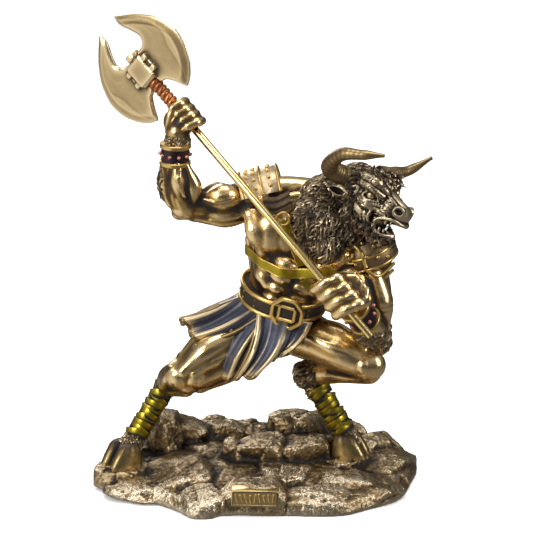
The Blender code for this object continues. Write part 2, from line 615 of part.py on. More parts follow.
def make_base():
    bm = bmesh.new()
    loops = []
    for share, height in ((0.995, 0), (1, 0.0025), (0.95, SLAB_THICKNESS)):
        loops.append([bm.verts.new(p) for p in outline_at(share, height)])
    close_loops(bm, loops)
    bmesh.ops.recalc_face_normals(bm, faces=bm.faces)
    base = new_object("rock_base", bm, (0.3, 0.22, 0.13), 0.5)
    stones = (
        (-31, -48, 4, (14, 14, 10)), (-66, -28, 3, (16, 12, 6.5)), (-40, -14, 7, (22, 18, 11)),
        (0, -46, 7, (17, 12, 10)), (0.5, -1, 16, (13, 12, 12)), (-14, 1, 14, (9, 9, 10.5)),
        (26, -2, 16, (12.5, 12, 11.5)), (29, 20, 21, (11, 9, 14)), (19, 24, 18, (9, 9, 13)),
        (-21, 31, 13, (10.5, 10, 13)), (3, 28, 13, (13, 10, 12)), (-45, 31, 14, (14, 11, 13)),
        (-53, 21, 20, (8.5, 8, 17)), (47, -28, 6, (17, 16, 10)), (77, 6, 5, (15, 17, 11)),
        (19, -24, 9, (14, 11, 9)), (66, -34, 4, (14, 12, 7)), (34, -46, 5, (17, 9, 9)),
        (68, 20, 8, (10, 9, 11)), (45, 38, 7, (16, 12, 13)), (-70, 27, 7, (14, 14, 9)),
        (0, 45, 6, (22, 11, 11)), (-36, 47, 5, (18, 9, 10)), (75, 30, 5, (11, 11, 9)),
        (-27, 10, 9, (15, 12, 10)), (12, 9, 12, (14, 12, 10)), (41, 18, 12, (12, 11, 13)),
    )
    forms = [rock(*stone, seed) for seed, stone in enumerate(stones)]
    forms.append(rock(-1, -50, 8, (19, 10, 12), 60, top=17.5, points=40))
    forms.append(rock(-78, -6, 5, (15, 15, 12), 61, top=R_HOOF.z / MM + 1.2, points=26))
    forms.append(rock(54, 1, 8, (14.5, 13, 14), 62, top=L_HOOF.z / MM + 1.2, points=26))
    combine(base, "UNION", make_tools("stones", forms))
    tilt = Matrix.Rotation(math.radians(1.5), 4, "Y")
    plate = Vector((-0.001, -0.0585, 0.0115))
    plate_depth = 0.004
    forms = [block(plate, (PLATE_WIDTH, plate_depth, PLATE_HEIGHT), tilt)]
    pick = random.Random(3)
    for stroke in range(8):
        shift = (stroke - 3.5) * PLATE_WIDTH * 0.105
        lean = Matrix.Rotation(math.radians(pick.uniform(-32, 32)), 4, "Y")
        place = plate + Vector((shift, -plate_depth / 2, 0))
        forms.append(block(place, (0.0009, 0.0012, PLATE_HEIGHT * 0.5), tilt @ lean))
    combine(base, "UNION", make_tools("name_tablet", forms))
    seats = toes(R_HOOF, (-0.8, -0.6, 0), CLEARANCE, 14) + toes(L_HOOF, (0.95, -0.3, 0), CLEARANCE, 14)
    for hock, hoof in ((R_HOCK, R_HOOF), (L_HOCK, L_HOOF)):
        seats.append(rod(hoof.lerp(hock, 0.12), hock, size(8.5)))
    combine(base, "DIFFERENCE", make_tools("hoof_seats", seats))
    return base


# Axe
def axe(along, across, out=0.0):
    """A point in the blades' own frame: down the shaft, across it, and out, from the socket's middle."""
    middle = R_GRIP - SHAFT_AXIS * HEAD_ABOVE_HAND
    return middle + SHAFT_AXIS * along + BLADE_ACROSS * across + BLADE_ACROSS.cross(SHAFT_AXIS) * out


def blade(side):
    """A crescent with two horns: a cutting edge on an arc, a bevel behind it, and a plate to the socket."""
    edge = ((-0.93, 0.25), (-0.69, 0.6), (-0.43, 0.85), (-0.2, 0.96), (-0.04, 1), (0.14, 0.98))
    edge += ((0.3, 0.92), (0.49, 0.79), (0.63, 0.63), (0.71, 0.46))
    inner = ((-0.91, 0.24), (-0.77, 0.225), (-0.56, 0.33), (-0.4, 0.385), (-0.28, 0.31))
    inner += ((-0.2, 0.1), (0.28, 0.1), (0.38, 0.24), (0.53, 0.36), (0.69, 0.45))
    count = 16
    outer_path = smooth_path([Vector((a, b, 0)) for a, b in edge], 4)
    inner_path = smooth_path([Vector((a, b, 0)) for a, b in inner], 4)
    bm = bmesh.new()
    rails = []
    for share, thickness in ((0, EDGE_THICKNESS), (0.3, BLADE_THICKNESS), (1, BLADE_THICKNESS)):
        for face in (1, -1):
            rail = []
            for k in range(count + 1):
                place = k / count * (len(outer_path) - 1)
                p = outer_path[round(place)].lerp(inner_path[round(place)], share)
                point = axe(p.x * BLADE_REACH, p.y * BLADE_REACH * side, face * thickness / 2)
                rail.append(bm.verts.new(point))
            rails.append(rail)
    order = [rails[0], rails[2], rails[4], rails[5], rails[3], rails[1]]
    for one, two in zip(order, order[1:] + order[:1]):
        for k in range(count):
            bm.faces.new((one[k], one[k + 1], two[k + 1], two[k]))
    for k in (0, count):
        bm.faces.new([rail[k] for rail in order])
    return bm


def make_axe_head(binding_end, shaft_top):
    turn = Matrix((BLADE_ACROSS, BLADE_ACROSS.cross(SHAFT_AXIS), SHAFT_AXIS)).transposed().to_4x4()
    bm = block(axe(0, 0), (SOCKET_WIDTH, SOCKET_DEPTH, SOCKET_LENGTH), turn)
    bmesh.ops.bevel(bm, geom=bm.edges, offset=0.0006, segments=1, affect="EDGES")
    head_piece = new_object("axe_head", bm, (0.6, 0.5, 0.3), 0.35)
    forms = [blade(-1), blade(1)]
    half = BLADE_THICKNESS / 2
    beside = SOCKET_WIDTH / 2 + RIVET_SIZE / 2
    for across in (-beside, beside):
        bar = (RIVET_SIZE * 0.8, BLADE_THICKNESS + RIVET_HEIGHT, SOCKET_LENGTH * 0.78)
        forms.append(block(axe(0, across * 0.98), bar, turn))
        for along in (-SOCKET_LENGTH * 0.26, SOCKET_LENGTH * 0.26):
            stud = (RIVET_SIZE, 2 * (half + RIVET_HEIGHT), RIVET_SIZE)
            forms.append(block(axe(along, across), stud, turn))
    knob_start = axe(-SOCKET_LENGTH / 2 + 0.001, 0)
    forms.append(rod(knob_start, axe(-SOCKET_LENGTH / 2 - KNOB_LENGTH, 0), KNOB_DIAMETER / 2, 16))
    forms.append(rod(axe(SOCKET_LENGTH / 2 - 0.001, 0), binding_end, BINDING_DIAMETER / 2, 20))
    combine(head_piece, "UNION", make_tools("axe_pieces", forms))
    past_end = binding_end + SHAFT_AXIS * 0.002
    bore = rod(shaft_top - SHAFT_AXIS * CLEARANCE, past_end, SHAFT_DIAMETER / 2 + CLEARANCE)
    combine(head_piece, "DIFFERENCE", make_tools("shaft_socket", [bore]))
    return head_piece


def main():
    for obj in list(bpy.data.objects):
        bpy.data.objects.remove(obj)
    shaft_end = L_GRIP + SHAFT_AXIS * SHAFT_BELOW_HAND
    binding_end = R_GRIP - SHAFT_AXIS * BINDING_END
    shaft_top = axe(SOCKET_LENGTH * 0.25, 0)
    make_figure(shaft_end, binding_end)
    make_base()
    make_axe_head(binding_end, shaft_top)
    new_object("axe_shaft", rod(shaft_top, shaft_end, SHAFT_DIAMETER / 2), (0.75, 0.6, 0.2), 0.25)


main()
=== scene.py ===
# %% [markdown]
# A cast bronze minotaur swings a double axe on a base of broken stones. The solids of the part already
# have its pose and its large forms. This lesson dresses them: every visible skin is built again with
# finer muscles, fur, cloth and dents, in the same place, and gets a patina that is dark in the hollows
# and rubbed bright on the ridges. The frame is loaded first, because every piece is fitted to it.

import math

import bmesh
import bpy
import numpy as np
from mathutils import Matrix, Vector
from mathutils.bvhtree import BVHTree


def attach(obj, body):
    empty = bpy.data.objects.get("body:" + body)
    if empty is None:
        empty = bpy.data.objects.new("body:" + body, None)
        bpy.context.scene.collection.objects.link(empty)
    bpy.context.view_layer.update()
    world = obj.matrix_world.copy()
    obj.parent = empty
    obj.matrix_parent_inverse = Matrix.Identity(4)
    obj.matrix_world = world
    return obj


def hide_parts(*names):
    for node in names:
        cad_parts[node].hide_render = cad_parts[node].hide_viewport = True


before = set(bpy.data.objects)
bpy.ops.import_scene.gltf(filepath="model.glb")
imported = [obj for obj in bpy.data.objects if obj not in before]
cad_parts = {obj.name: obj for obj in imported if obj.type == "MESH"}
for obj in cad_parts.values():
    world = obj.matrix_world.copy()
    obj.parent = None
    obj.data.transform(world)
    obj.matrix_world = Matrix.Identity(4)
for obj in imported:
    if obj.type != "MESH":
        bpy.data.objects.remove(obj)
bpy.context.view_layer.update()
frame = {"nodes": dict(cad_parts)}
print("solids:", ", ".join(frame["nodes"]))

# %% [markdown]
# The photograph looks down on the figure at 15.5 degrees from just left of the middle. The camera is
# set first, because all likeness is judged through it. Lengths in this lesson are millimetres until a
# mesh is made.

# %% Camera
MM = 0.001
PITCH = math.radians(15.5)
CAMERA_PLACE = (5.4, -963.6, 396.2)
LENS = 118.2
SENSOR_WIDTH = 36

eye = bpy.data.cameras.new("photo_camera")
eye.lens = LENS
eye.sensor_width = SENSOR_WIDTH
camera = bpy.data.objects.new("photo_camera", eye)
camera.location = [c * MM for c in CAMERA_PLACE]
camera.rotation_euler = (math.pi / 2 - PITCH, 0, 0)
bpy.context.scene.collection.objects.link(camera)
bpy.context.scene.camera = camera
print("camera", CAMERA_PLACE, "lens", LENS)

# %% [markdown]
# A sculptor lays pellets of clay over an armature and blends them. Here a pellet is one of a few
# surfaces of two parameters: a tube swept along a curve, an ellipsoid, a sheet or a hoop. They are
# whole arrays, and they are gathered in one lump before they are cast as a single skin.

# %% Curves and directions
UP = np.array((0.0, 0.0, 1.0))
FRONT = np.array((0.0, -1.0, 0.0))
SIDE = np.array((1.0, 0.0, 0.0))


def vec(*values):
    """A point or a direction, as an array."""
    return np.array(values, float)


def unit(v):
    """The vectors divided by their lengths."""
    v = np.asarray(v, float)
    return v / np.maximum(np.linalg.norm(v, axis=-1, keepdims=True), 1e-9)


def curve(points, count):
    """Catmull-Rom: between two points, a cubic that leaves each in the direction of its two neighbours."""
    p = np.asarray(points, float)
    p = np.vstack([2 * p[0] - p[1], p, 2 * p[-1] - p[-2]])
    place = np.linspace(0, len(p) - 3, count)
    low = np.minimum(place.astype(int), len(p) - 4)
    t = (place - low)[:, None]
    a, b, c, d = p[low], p[low + 1], p[low + 2], p[low + 3]
    return (2 * b + (c - a) * t + (2 * a - 5 * b + 4 * c - d) * t**2 + (3 * b - a - 3 * c + d) * t**3) / 2


def ease(values, count):
    """The values, read at evenly spaced places with a smooth step between them."""
    values = np.asarray(values, float)
    place = np.linspace(0, len(values) - 1, count)
    low = np.minimum(place.astype(int), len(values) - 2)
    t = place - low
    t = t * t * (3 - 2 * t)
    return values[low] * (1 - t) + values[low + 1] * t


def square(v, axis):
    """The part of the vectors that is square to an axis, at unit length."""
    return unit(v - axis * (v * axis).sum(-1, keepdims=True))


print("a curve through 3 points in 5 steps:", curve(((0, 0, 0), (1, 2, 0), (2, 0, 0)), 5)[:, 1])

# %% [markdown]
# A lump gathers closed forms. It keeps points and faces as arrays, and for each point how deep it lies,
# which the patina reads later; on some forms this number also carries painted shade. Most forms are rows
# of equal rings, so one function closes such rows with two poles.

# %% A lump of clay
def strip(rows, columns, around=True, closed=False):
    """The quads between neighbouring rows of a grid, joined round each row and, if closed, end to end."""
    i = np.arange(rows if closed else rows - 1)[:, None]
    j = np.arange(columns if around else columns - 1)[None, :]
    k = (i + 1) % rows
    m = (j + 1) % columns
    quads = [i * columns + j, i * columns + m, k * columns + m, k * columns + j]
    return np.stack(np.broadcast_arrays(*quads), -1).reshape(-1, 4)


class Clay:
    """Closed forms in millimetres, each with one value per point that tells how deep it lies, with painted
    shade added on some forms.
    """

    def __init__(self):
        self.points, self.faces, self.depth, self.count = [], [], [], 0

    def add(self, points, *faces, depth=0.0):
        """Points with their faces, numbered after what is there already."""
        self.points.append(points)
        self.depth.append(np.broadcast_to(depth, len(points)))
        self.faces += [f + self.count for f in faces]
        self.count += len(points)

    def rings(self, rings, depth=0.0):
        """Rows of equal rings, with a pole in the middle of the first and the last ring."""
        rows, columns, _ = rings.shape
        points = np.vstack([rings.reshape(-1, 3), rings[0].mean(0), rings[-1].mean(0)])
        j = np.arange(columns)
        m = (j + 1) % columns
        last = (rows - 1) * columns
        start = np.stack([np.full(columns, rows * columns), m, j], -1)
        end = np.stack([np.full(columns, rows * columns + 1), last + j, last + m], -1)
        depth = np.asarray(depth, float)
        deep = np.broadcast_to(depth if depth.ndim == 2 else depth.reshape(-1, 1), (rows, columns)).ravel()
        self.add(points, strip(rows, columns), start, end, depth=np.append(deep, deep[[0, -1]]))

    def loop(self, rings, depth=0.0):
        """Rings along a closed path, the last joined to the first."""
        rows, columns, _ = rings.shape
        self.add(rings.reshape(-1, 3), strip(rows, columns, closed=True), depth=depth)


print("a strip of 3 rows by 4 columns has", len(strip(3, 4)), "quads")

# %% [markdown]
# Four kinds of form make nearly everything: a swept tube for muscles and folds, an ellipsoid for
# masses, a thin sheet for cloth and plates, and a profile carried along a path for straps and rims.

# %% Swept tubes, ellipsoids, sheets and hoops
CAP = np.radians((68, 44, 20))


def tube(clay, points, radii, wide=1.0, side=UP, sides=16, steps=6):
    """Ellipses along a curve: centre + across * r * w * cos(a) + other * r * sin(a), with round ends."""
    count = (len(points) - 1) * steps + 1
    path = curve(points, count)
    radius = ease(radii, count)
    wide = ease(np.broadcast_to(wide, 2) if np.ndim(wide) == 0 else wide, count)
    tangent = unit(np.gradient(path, axis=0))
    path = np.vstack([path[0] - np.outer(radius[0] * np.sin(CAP), tangent[0]), path,
                      path[-1] + np.outer(radius[-1] * np.sin(CAP[::-1]), tangent[-1])])
    radius = np.concatenate([radius[0] * np.cos(CAP), radius, radius[-1] * np.cos(CAP[::-1])])
    wide = np.concatenate([wide[[0] * 3], wide, wide[[-1] * 3]])
    tangent = np.vstack([tangent[[0] * 3], tangent, tangent[[-1] * 3]])
    across = square(side, tangent)
    other = np.cross(tangent, across)
    a = np.linspace(0, 2 * np.pi, sides, endpoint=False)[None, :, None]
    spread = across[:, None] * (radius * wide)[:, None, None] * np.cos(a)
    clay.rings(path[:, None] + spread + other[:, None] * radius[:, None, None] * np.sin(a))


def ball(clay, centre, semi, x_axis=SIDE, z_axis=UP, columns=28, rows=16):
    """An ellipsoid: x * cos(b) * cos(a), y * cos(b) * sin(a) and z * sin(b) along its own three axes."""
    x = unit(x_axis)
    z = unit(z_axis - x * np.dot(z_axis, x))
    y = np.cross(z, x)
    a = np.linspace(0, 2 * np.pi, columns, endpoint=False)[None, :]
    b = np.radians(np.linspace(-84, 84, rows))[:, None]
    parts = (np.cos(b) * np.cos(a) * semi[0], np.cos(b) * np.sin(a) * semi[1], np.sin(b) * semi[2] + 0 * a)
    clay.rings(centre + sum(part[..., None] * axis for part, axis in zip(parts, (x, y, z))))


def sheet(clay, grid, thickness, depth=0.0):
    """A grid of points moved half a thickness to each side of itself, with its border closed."""
    rows, columns, _ = grid.shape
    normal = unit(np.cross(np.gradient(grid, axis=1), np.gradient(grid, axis=0)))
    half = np.asarray(thickness / 2)[..., None]
    points = np.concatenate([(grid + normal * half).reshape(-1, 3), (grid - normal * half).reshape(-1, 3)])
    quads = strip(rows, columns, around=False)
    n = rows * columns
    i, j = np.arange(rows), np.arange(columns)
    border = np.concatenate([j[:-1], i[:-1] * columns + columns - 1, n - 1 - j[:-1],
                             (i[::-1][:-1]) * columns])
    after = np.roll(border, -1)
    rim = np.stack([after, border, border + n, after + n], -1)
    depth = np.broadcast_to(depth, (rows, columns)).ravel()
    clay.add(points, quads[:, ::-1], quads + n, rim, depth=np.tile(depth, 2))


def carry(clay, profile, path, out, closed=False, depth=0.0):
    """A flat profile of (across, out) lengths, carried along a path and turned to the out vectors."""
    if closed:
        tangent = unit(np.roll(path, -1, 0) - np.roll(path, 1, 0))
    else:
        tangent = unit(np.gradient(path, axis=0))
    out = square(out, tangent)
    across = np.cross(out, tangent)
    profile = np.asarray(profile, float)
    scale = profile if profile.ndim == 3 else profile[None]
    rings = path[:, None] + across[:, None] * scale[..., :1] + out[:, None] * scale[..., 1:]
    if closed:
        clay.loop(rings, depth)
    else:
        clay.rings(rings, depth)


def oval(centre, normal, side, semi_side, semi_other, count, start=0.0):
    """Points of an ellipse, and the directions that point out of it."""
    side = square(side, normal)
    other = np.cross(normal, side)
    a = start + np.linspace(0, 2 * np.pi, count, endpoint=False)[:, None]
    path = centre + side * semi_side * np.cos(a) + other * semi_other * np.sin(a)
    return path, unit(side * np.cos(a) / semi_side + other * np.sin(a) / semi_other)


ROUND = np.stack([np.cos(np.linspace(0, 2 * np.pi, 10, endpoint=False)),
                  np.sin(np.linspace(0, 2 * np.pi, 10, endpoint=False))], -1)


SUNK = 0.8


def flat_profile(width, thickness):
    """A strap's section: a thin bar with round edges, its underside sunk into what carries it."""
    w, t = width / 2, thickness
    return np.array(((-w, -SUNK), (w, -SUNK), (w, t * 0.55), (w * 0.93, t * 0.92), (w * 0.8, t),
                     (-w * 0.8, t), (-w * 0.93, t * 0.92), (-w, t * 0.55)))


print("clay tools ready")

# %% [markdown]
# Between the arrays and Blender's meshes stand a few short functions: one makes a mesh, one reads it
# back and one moves its points.

# %% Meshes and arrays
def new_mesh(name, points, faces):
    """A mesh from an array of millimetre points and arrays of quads and triangles."""
    mesh = bpy.data.meshes.new(name)
    mesh.vertices.add(len(points))
    mesh.vertices.foreach_set("co", (np.asarray(points) * MM).ravel())
    sizes = np.concatenate([np.full(len(f), f.shape[1]) for f in faces])
    mesh.loops.add(int(sizes.sum()))
    mesh.loops.foreach_set("vertex_index", np.concatenate([f.ravel() for f in faces]).astype(np.int32))
    mesh.polygons.add(len(sizes))
    mesh.polygons.foreach_set("loop_start", (np.cumsum(sizes) - sizes).astype(np.int32))
    mesh.update(calc_edges=True)
    mesh.validate()
    return mesh


def read(mesh):
    """A mesh's points in millimetres, its normals and its edges, as arrays."""
    points = np.empty(len(mesh.vertices) * 3, np.float32)
    mesh.vertices.foreach_get("co", points)
    normals = np.empty(len(mesh.vertices) * 3, np.float32)
    mesh.vertices.foreach_get("normal", normals)
    edges = np.empty(len(mesh.edges) * 2, np.int32)
    mesh.edges.foreach_get("vertices", edges)
    return points.reshape(-1, 3) / MM, normals.reshape(-1, 3).astype(float), edges.reshape(-1, 2)


def move_points(mesh, points):
    """Puts new millimetre points into a mesh."""
    mesh.vertices.foreach_set("co", (points * MM).ravel())
    mesh.update()


def set_hollow(obj, hollow):
    """Stores the hollow number of each point of a piece."""
    obj.data.attributes["hollow"].data.foreach_set("value", np.asarray(hollow, np.float32))


print("one millimetre is", MM, "m")

# %% [markdown]
# Smoothing and the patina both ask what a point's neighbours do. A blur replaces a value by the
# neighbours' mean. A point that lies below its blurred neighbourhood is in a hollow, and one above it
# is on a ridge.

# %% Smoothing and hollows
HOLLOW_SCALES = ((3, 1.1), (14, 0.9), (50, 0.7))
SHRINK = 0.5
SWELL = 0.52


def blur(values, edges, rounds=1):
    """Each point's value replaced by the mean of its neighbours', several times."""
    count = len(values)
    one, two = edges.T
    degree = np.bincount(one, minlength=count) + np.bincount(two, minlength=count)
    for _ in range(rounds):
        sums = [np.bincount(one, v[two], count) + np.bincount(two, v[one], count) for v in values.T]
        values = np.stack(sums, -1) / np.maximum(degree, 1)[:, None]
    return values


def taubin(points, edges, rounds):
    """Smoothing by turns: a step towards the neighbours' mean, then a slightly longer one away from it."""
    for _ in range(rounds):
        points = points + SHRINK * (blur(points, edges) - points)
        points = points - SWELL * (blur(points, edges) - points)
    return points


def hollows(points, normals, edges, grain):
    """How far the neighbours' mean lies above a point along its normal, over three neighbourhoods."""
    total = np.zeros(len(points))
    mean = points
    for rounds, weight in HOLLOW_SCALES:
        mean = blur(mean, edges, rounds)
        total += weight * np.tanh(((mean - points) * normals).sum(-1) / (grain * rounds**0.5))
    return total


print("hollows are measured over", [rounds for rounds, _ in HOLLOW_SCALES], "rounds of blur")

# %% [markdown]
# A lump of clay becomes a cast in three steps. A voxel remesh melts the overlapping forms into one
# closed skin. A smoothing that shrinks and swells in turn takes out its steps and keeps its volume.
# Last, each point gets its hollow number. Straps, rivets and horns keep their own crisp mesh instead,
# with no melt.

# %% Casting
FILL_SHARE = 0.75
FILL_MOST = 1.5


def finish_piece(obj, hollow):
    """Stores the hollows on a piece, shades it smooth and lets it ride on the part's one body."""
    mesh = obj.data
    mesh.attributes.new("hollow", "FLOAT", "POINT")
    set_hollow(obj, hollow)
    mesh.shade_smooth()
    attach(obj, "root")
    print(f"{obj.name}: {sum(len(p.vertices) - 2 for p in mesh.polygons)} triangles")
    return obj


def cast(name, clay, voxel, smooth=3, grain=0.05, relief=None, fill=0):
    """Melts a lump to one skin, smooths it, fills creases, carves a relief and measures its hollows."""
    raw = bpy.data.objects.new(name, new_mesh(name + "_clay", np.vstack(clay.points), clay.faces))
    bpy.context.scene.collection.objects.link(raw)
    melt = raw.modifiers.new("melt", "REMESH")
    melt.mode = "VOXEL"
    melt.voxel_size = voxel * MM
    mesh = bpy.data.meshes.new_from_object(raw.evaluated_get(bpy.context.evaluated_depsgraph_get()))
    raw.modifiers.clear()
    raw.data = mesh
    points, normals, edges = read(mesh)
    points = taubin(points, edges, smooth)
    for _ in range(fill):
        move_points(mesh, points)
        normals = read(mesh)[1]
        rise = ((blur(points, edges, 9) - points) * normals).sum(-1)
        points = points + normals * (np.clip(rise, 0, FILL_MOST) * FILL_SHARE)[:, None]
    if fill:
        points = taubin(points, edges, 1)
    if relief:
        move_points(mesh, points)
        normals = read(mesh)[1]
        points = points + normals * relief(points)[:, None]
    move_points(mesh, points)
    points, normals, edges = read(mesh)
    return finish_piece(raw, hollows(points, normals, edges, grain))


def shape(name, clay, smooth_angle=35.0, grain=0.0):
    """The forms as they are, closed and facing outwards, with hollows measured if a grain is given."""
    mesh = new_mesh(name, np.vstack(clay.points), clay.faces)
    bm = bmesh.new()
    bm.from_mesh(mesh)
    bmesh.ops.recalc_face_normals(bm, faces=bm.faces)
    bm.to_mesh(mesh)
    bm.free()
    obj = bpy.data.objects.new(name, mesh)
    bpy.context.scene.collection.objects.link(obj)
    hollow = np.concatenate(clay.depth)
    if grain:
        hollow = hollow + hollows(*read(mesh), grain)
    finish_piece(obj, hollow)
    mesh.set_sharp_from_angle(angle=math.radians(smooth_angle))
    return obj


print("casting is ready")

# %% [markdown]
# The pose comes from the photograph, as named joints in millimetres from the middle of the base's
# underside. They are the ones the solids stand on. The head, each fist and the axe have frames of their
# own.

# %% The skeleton
PELVIS, BELLY, RIBS = vec(10, 3, 95), vec(15, 1, 112), vec(21, 1, 128)
CHEST, NECK, SKULL = vec(28, 1, 147), vec(40, -2, 164), vec(58.4, -16, 176)
R_SHOULDER, R_ELBOW = vec(-2, 2, 168), vec(-40, -3, 166)
R_WRIST, R_GRIP = vec(-44, -9, 203.5), vec(-40.6, -6, 217.3)
L_SHOULDER, L_ELBOW = vec(62, -8, 139), vec(67, -14, 92)
L_WRIST, L_GRIP = vec(54, -38, 116), vec(44.6, -44, 123.3)
R_HIP, R_KNEE, R_HOCK = vec(-3, 3, 91), vec(-44, -12, 68), vec(-54, 9, 53)
R_FETLOCK, R_HOOF, R_TOE = vec(-71, 2, 26), vec(-78, -6, 10.5), unit((-0.8, -0.6, 0))
L_HIP, L_KNEE, L_HOCK = vec(24, 3, 89), vec(63, -19, 76), vec(31, 8, 61)
L_FETLOCK, L_HOOF, L_TOE = vec(50.5, 4, 28), vec(53, 1, 14), unit((0.95, -0.3, 0))

DOWN_SHAFT = unit(L_GRIP - R_GRIP)
OUT_SHAFT = square(FRONT, DOWN_SHAFT)
OVER_SHAFT = np.cross(OUT_SHAFT, DOWN_SHAFT)
TRUNK_SIDE = unit((0.93, 0, -0.37))
TRUNK_UP = unit((0.37, 0, 0.93))
FACE = unit((0.761, -0.597, -0.259))
FACE_RIGHT = unit((-0.553, -0.803, 0.222))
FACE_UP = unit(np.cross(FACE_RIGHT, FACE))


def head(forward, up, right):
    """A point in the head's frame."""
    return SKULL + FACE * forward + FACE_UP * up + FACE_RIGHT * right


def grip(centre, along, out, over):
    """A point about a fist: along the shaft, out to the front and over it."""
    return centre + DOWN_SHAFT * along + OUT_SHAFT * out + OVER_SHAFT * over


print("between the fists:", round(float(np.linalg.norm(L_GRIP - R_GRIP)), 1), "mm")


# %% [markdown]
# The body is a wrestler's. Each muscle is its own long ellipsoid or tube, laid over simpler masses, so
# that the melt leaves a crease where two of them meet. That is how the cast got its hard-edged anatomy.

# %% Trunk
def trunk_point(across, up, out):
    """A point over the middle of the trunk: across it, up it, and out to the front, from the navel."""
    return vec(18.5, 0, 121) + TRUNK_SIDE * across + TRUNK_UP * up + FRONT * out


def model_trunk(clay):
    """Core, chest plates, belly muscles in rows, ribs, flanks, neck and back, in that order."""
    tube(clay, [(9, 3, 86), PELVIS, BELLY, RIBS, CHEST, (33, 0, 160)], [13, 15.6, 15.8, 17.2, 18, 12],
         [1.3, 1.35, 1.38, 1.33, 1.45, 1.6], TRUNK_SIDE, 56, 12)
    ball(clay, (28, 2, 149), (30, 18.5, 20), TRUNK_SIDE, UP, 56, 36)
    ball(clay, (9.5, -12.2, 153), (13.6, 8.4, 12.6), vec(0.8, 0, 0.6), UP, 40, 26)
    for step in range(3):
        top = vec(-3 + step * 7, -9.4 - step * 0.9, 163 - step * 0.4)
        low = vec(4 + step * 6.8, -12.8 + abs(step - 1) * 0.5, 141 - step * 1.2)
        tube(clay, [top, (top + low) / 2 + FRONT * 4.0 + UP, low], [3.8, 5.0, 3.0], 1.4, SIDE)
    ball(clay, (43, -15, 139), (14, 8.6, 11.5), TRUNK_SIDE, UP, 40, 26)
    for step in range(3):
        tube(clay, [(51 - step * 4, -16, 146 - step), (45 - step * 4, -21.6, 138 - step),
                    (37 - step * 3, -20, 132.5 - step * 0.5)], [2.8, 3.6, 2.4], 1.2)
    ball(clay, trunk_point(0, -1, 8), (15.5, 10.6, 18), TRUNK_SIDE, TRUNK_UP, 48, 30)
    for row, (up, tall, wide) in enumerate(((10.8, 6.2, 8.6), (3.4, 6.2, 8.5),
                                            (-3.8, 6.0, 8.0), (-10.8, 5.6, 7.4))):
        for column in (-1, 1):
            ball(clay, trunk_point(column * (6.2 - row * 0.1), up - column * 0.9, 12.7 - row * 0.4),
                 (wide, 7.9, tall), TRUNK_SIDE, TRUNK_UP)
    for step in range(4):
        up = 17 - step * 6.2
        path = [trunk_point(-24 + step * 0.8, up + 5, 5), trunk_point(-19.5 + step * 0.9, up + 1.2, 10.4),
                trunk_point(-13.8 + step * 0.4, up - 3.2, 13.8)]
        tube(clay, path, [2.4, 3.9, 2.2], 1.2, UP, 16)
        path = [trunk_point(24 - step * 0.8, up + 2, 5), trunk_point(19.5 - step * 0.9, up - 1.4, 10.8),
                trunk_point(13.8 - step * 0.4, up - 4.4, 14.0)]
        tube(clay, path, [2.4, 3.9, 2.2], 1.2, UP, 16)
    for step in range(3):
        top = vec(-1 + step * 4.0, -3 - step * 4.0, 158 - step * 3.6)
        tube(clay, [top, (-3.5 + step * 3.4, -1 - step * 4.2, 147 - step * 2),
                    (-1 + step * 3.2, -4 - step * 3.8, 134)],
             [2.4, 3.4, 2.0], 1.3, UP, 16)
    tube(clay, [(4, 5, 160), (3, 5, 148), (4, 4, 134), (7, 5, 120)], [7.6, 8.4, 7.8, 6])
    tube(clay, [(56, 3, 134), (52, 3, 122), (44, 4, 112)], [8, 7, 5])
    ball(clay, (24, 8, 170), (17, 9.6, 8.2), TRUNK_SIDE)
    tube(clay, [(38, 6, 170), (18, 7, 173), (2, 5, 172)], [8.3, 7.3, 6.8])
    for step in range(3):
        tube(clay, [(34, -4 - step, 172 - step * 3), (24, -6 - step, 172 - step * 3),
                    (13, -6, 171 - step * 3)],
             [2.0, 2.6, 1.6])
    ball(clay, (25, 8, 152), (27, 12.6, 18), TRUNK_SIDE, UP, 48, 30)
    ball(clay, (18, 7, 127), (20, 12.4, 21), TRUNK_SIDE, UP, 48, 30)
    for out in (-1, 1):
        spine = [(13 + out * 5, 10.5, 108), (19 + out * 6.5, 16, 130), (24 + out * 7, 15.5, 154),
                 (31 + out * 5, 11, 168)]
        tube(clay, spine, [4.4, 5.2, 6.2, 4.5], 1.2, TRUNK_SIDE)
        for step in range(3):
            inner = vec(26 + out * (8 + step * 2), 18.4 - step, 163 - step * 7)
            outer = vec(26 + out * 22, 11.5, 160 - step * 9)
            tube(clay, [inner, (inner + outer) / 2 - FRONT * 1.6, outer], [1.8, 3.4, 2.2], 1.2)
        wing = [(14 + out * 12, 11, 118), (21 + out * 17, 13, 136), (25 + out * 20, 9, 150)]
        tube(clay, wing, [5, 7.5, 6.5], 1.3, TRUNK_SIDE)
        ball(clay, vec(26 + out * 14, 14.5, 157) - UP * out * 5, (8, 4.5, 6), TRUNK_SIDE)
    for centre in (vec(0, 12, 91), vec(22, 12, 89)):
        ball(clay, centre, (13, 11.5, 12.5))
    tube(clay, [CHEST, NECK, (48, -8, 170)], [16.5, 15, 11])


body_clay = Clay()
model_trunk(body_clay)
print("trunk:", body_clay.count, "points of clay")

# %% [markdown]
# The right arm swings up behind the shoulder and the left one folds over the knee. Each has a core tube
# and muscles over it: the deltoid, biceps and triceps, then the long bundles of the forearm. Veins are
# thin tubes.

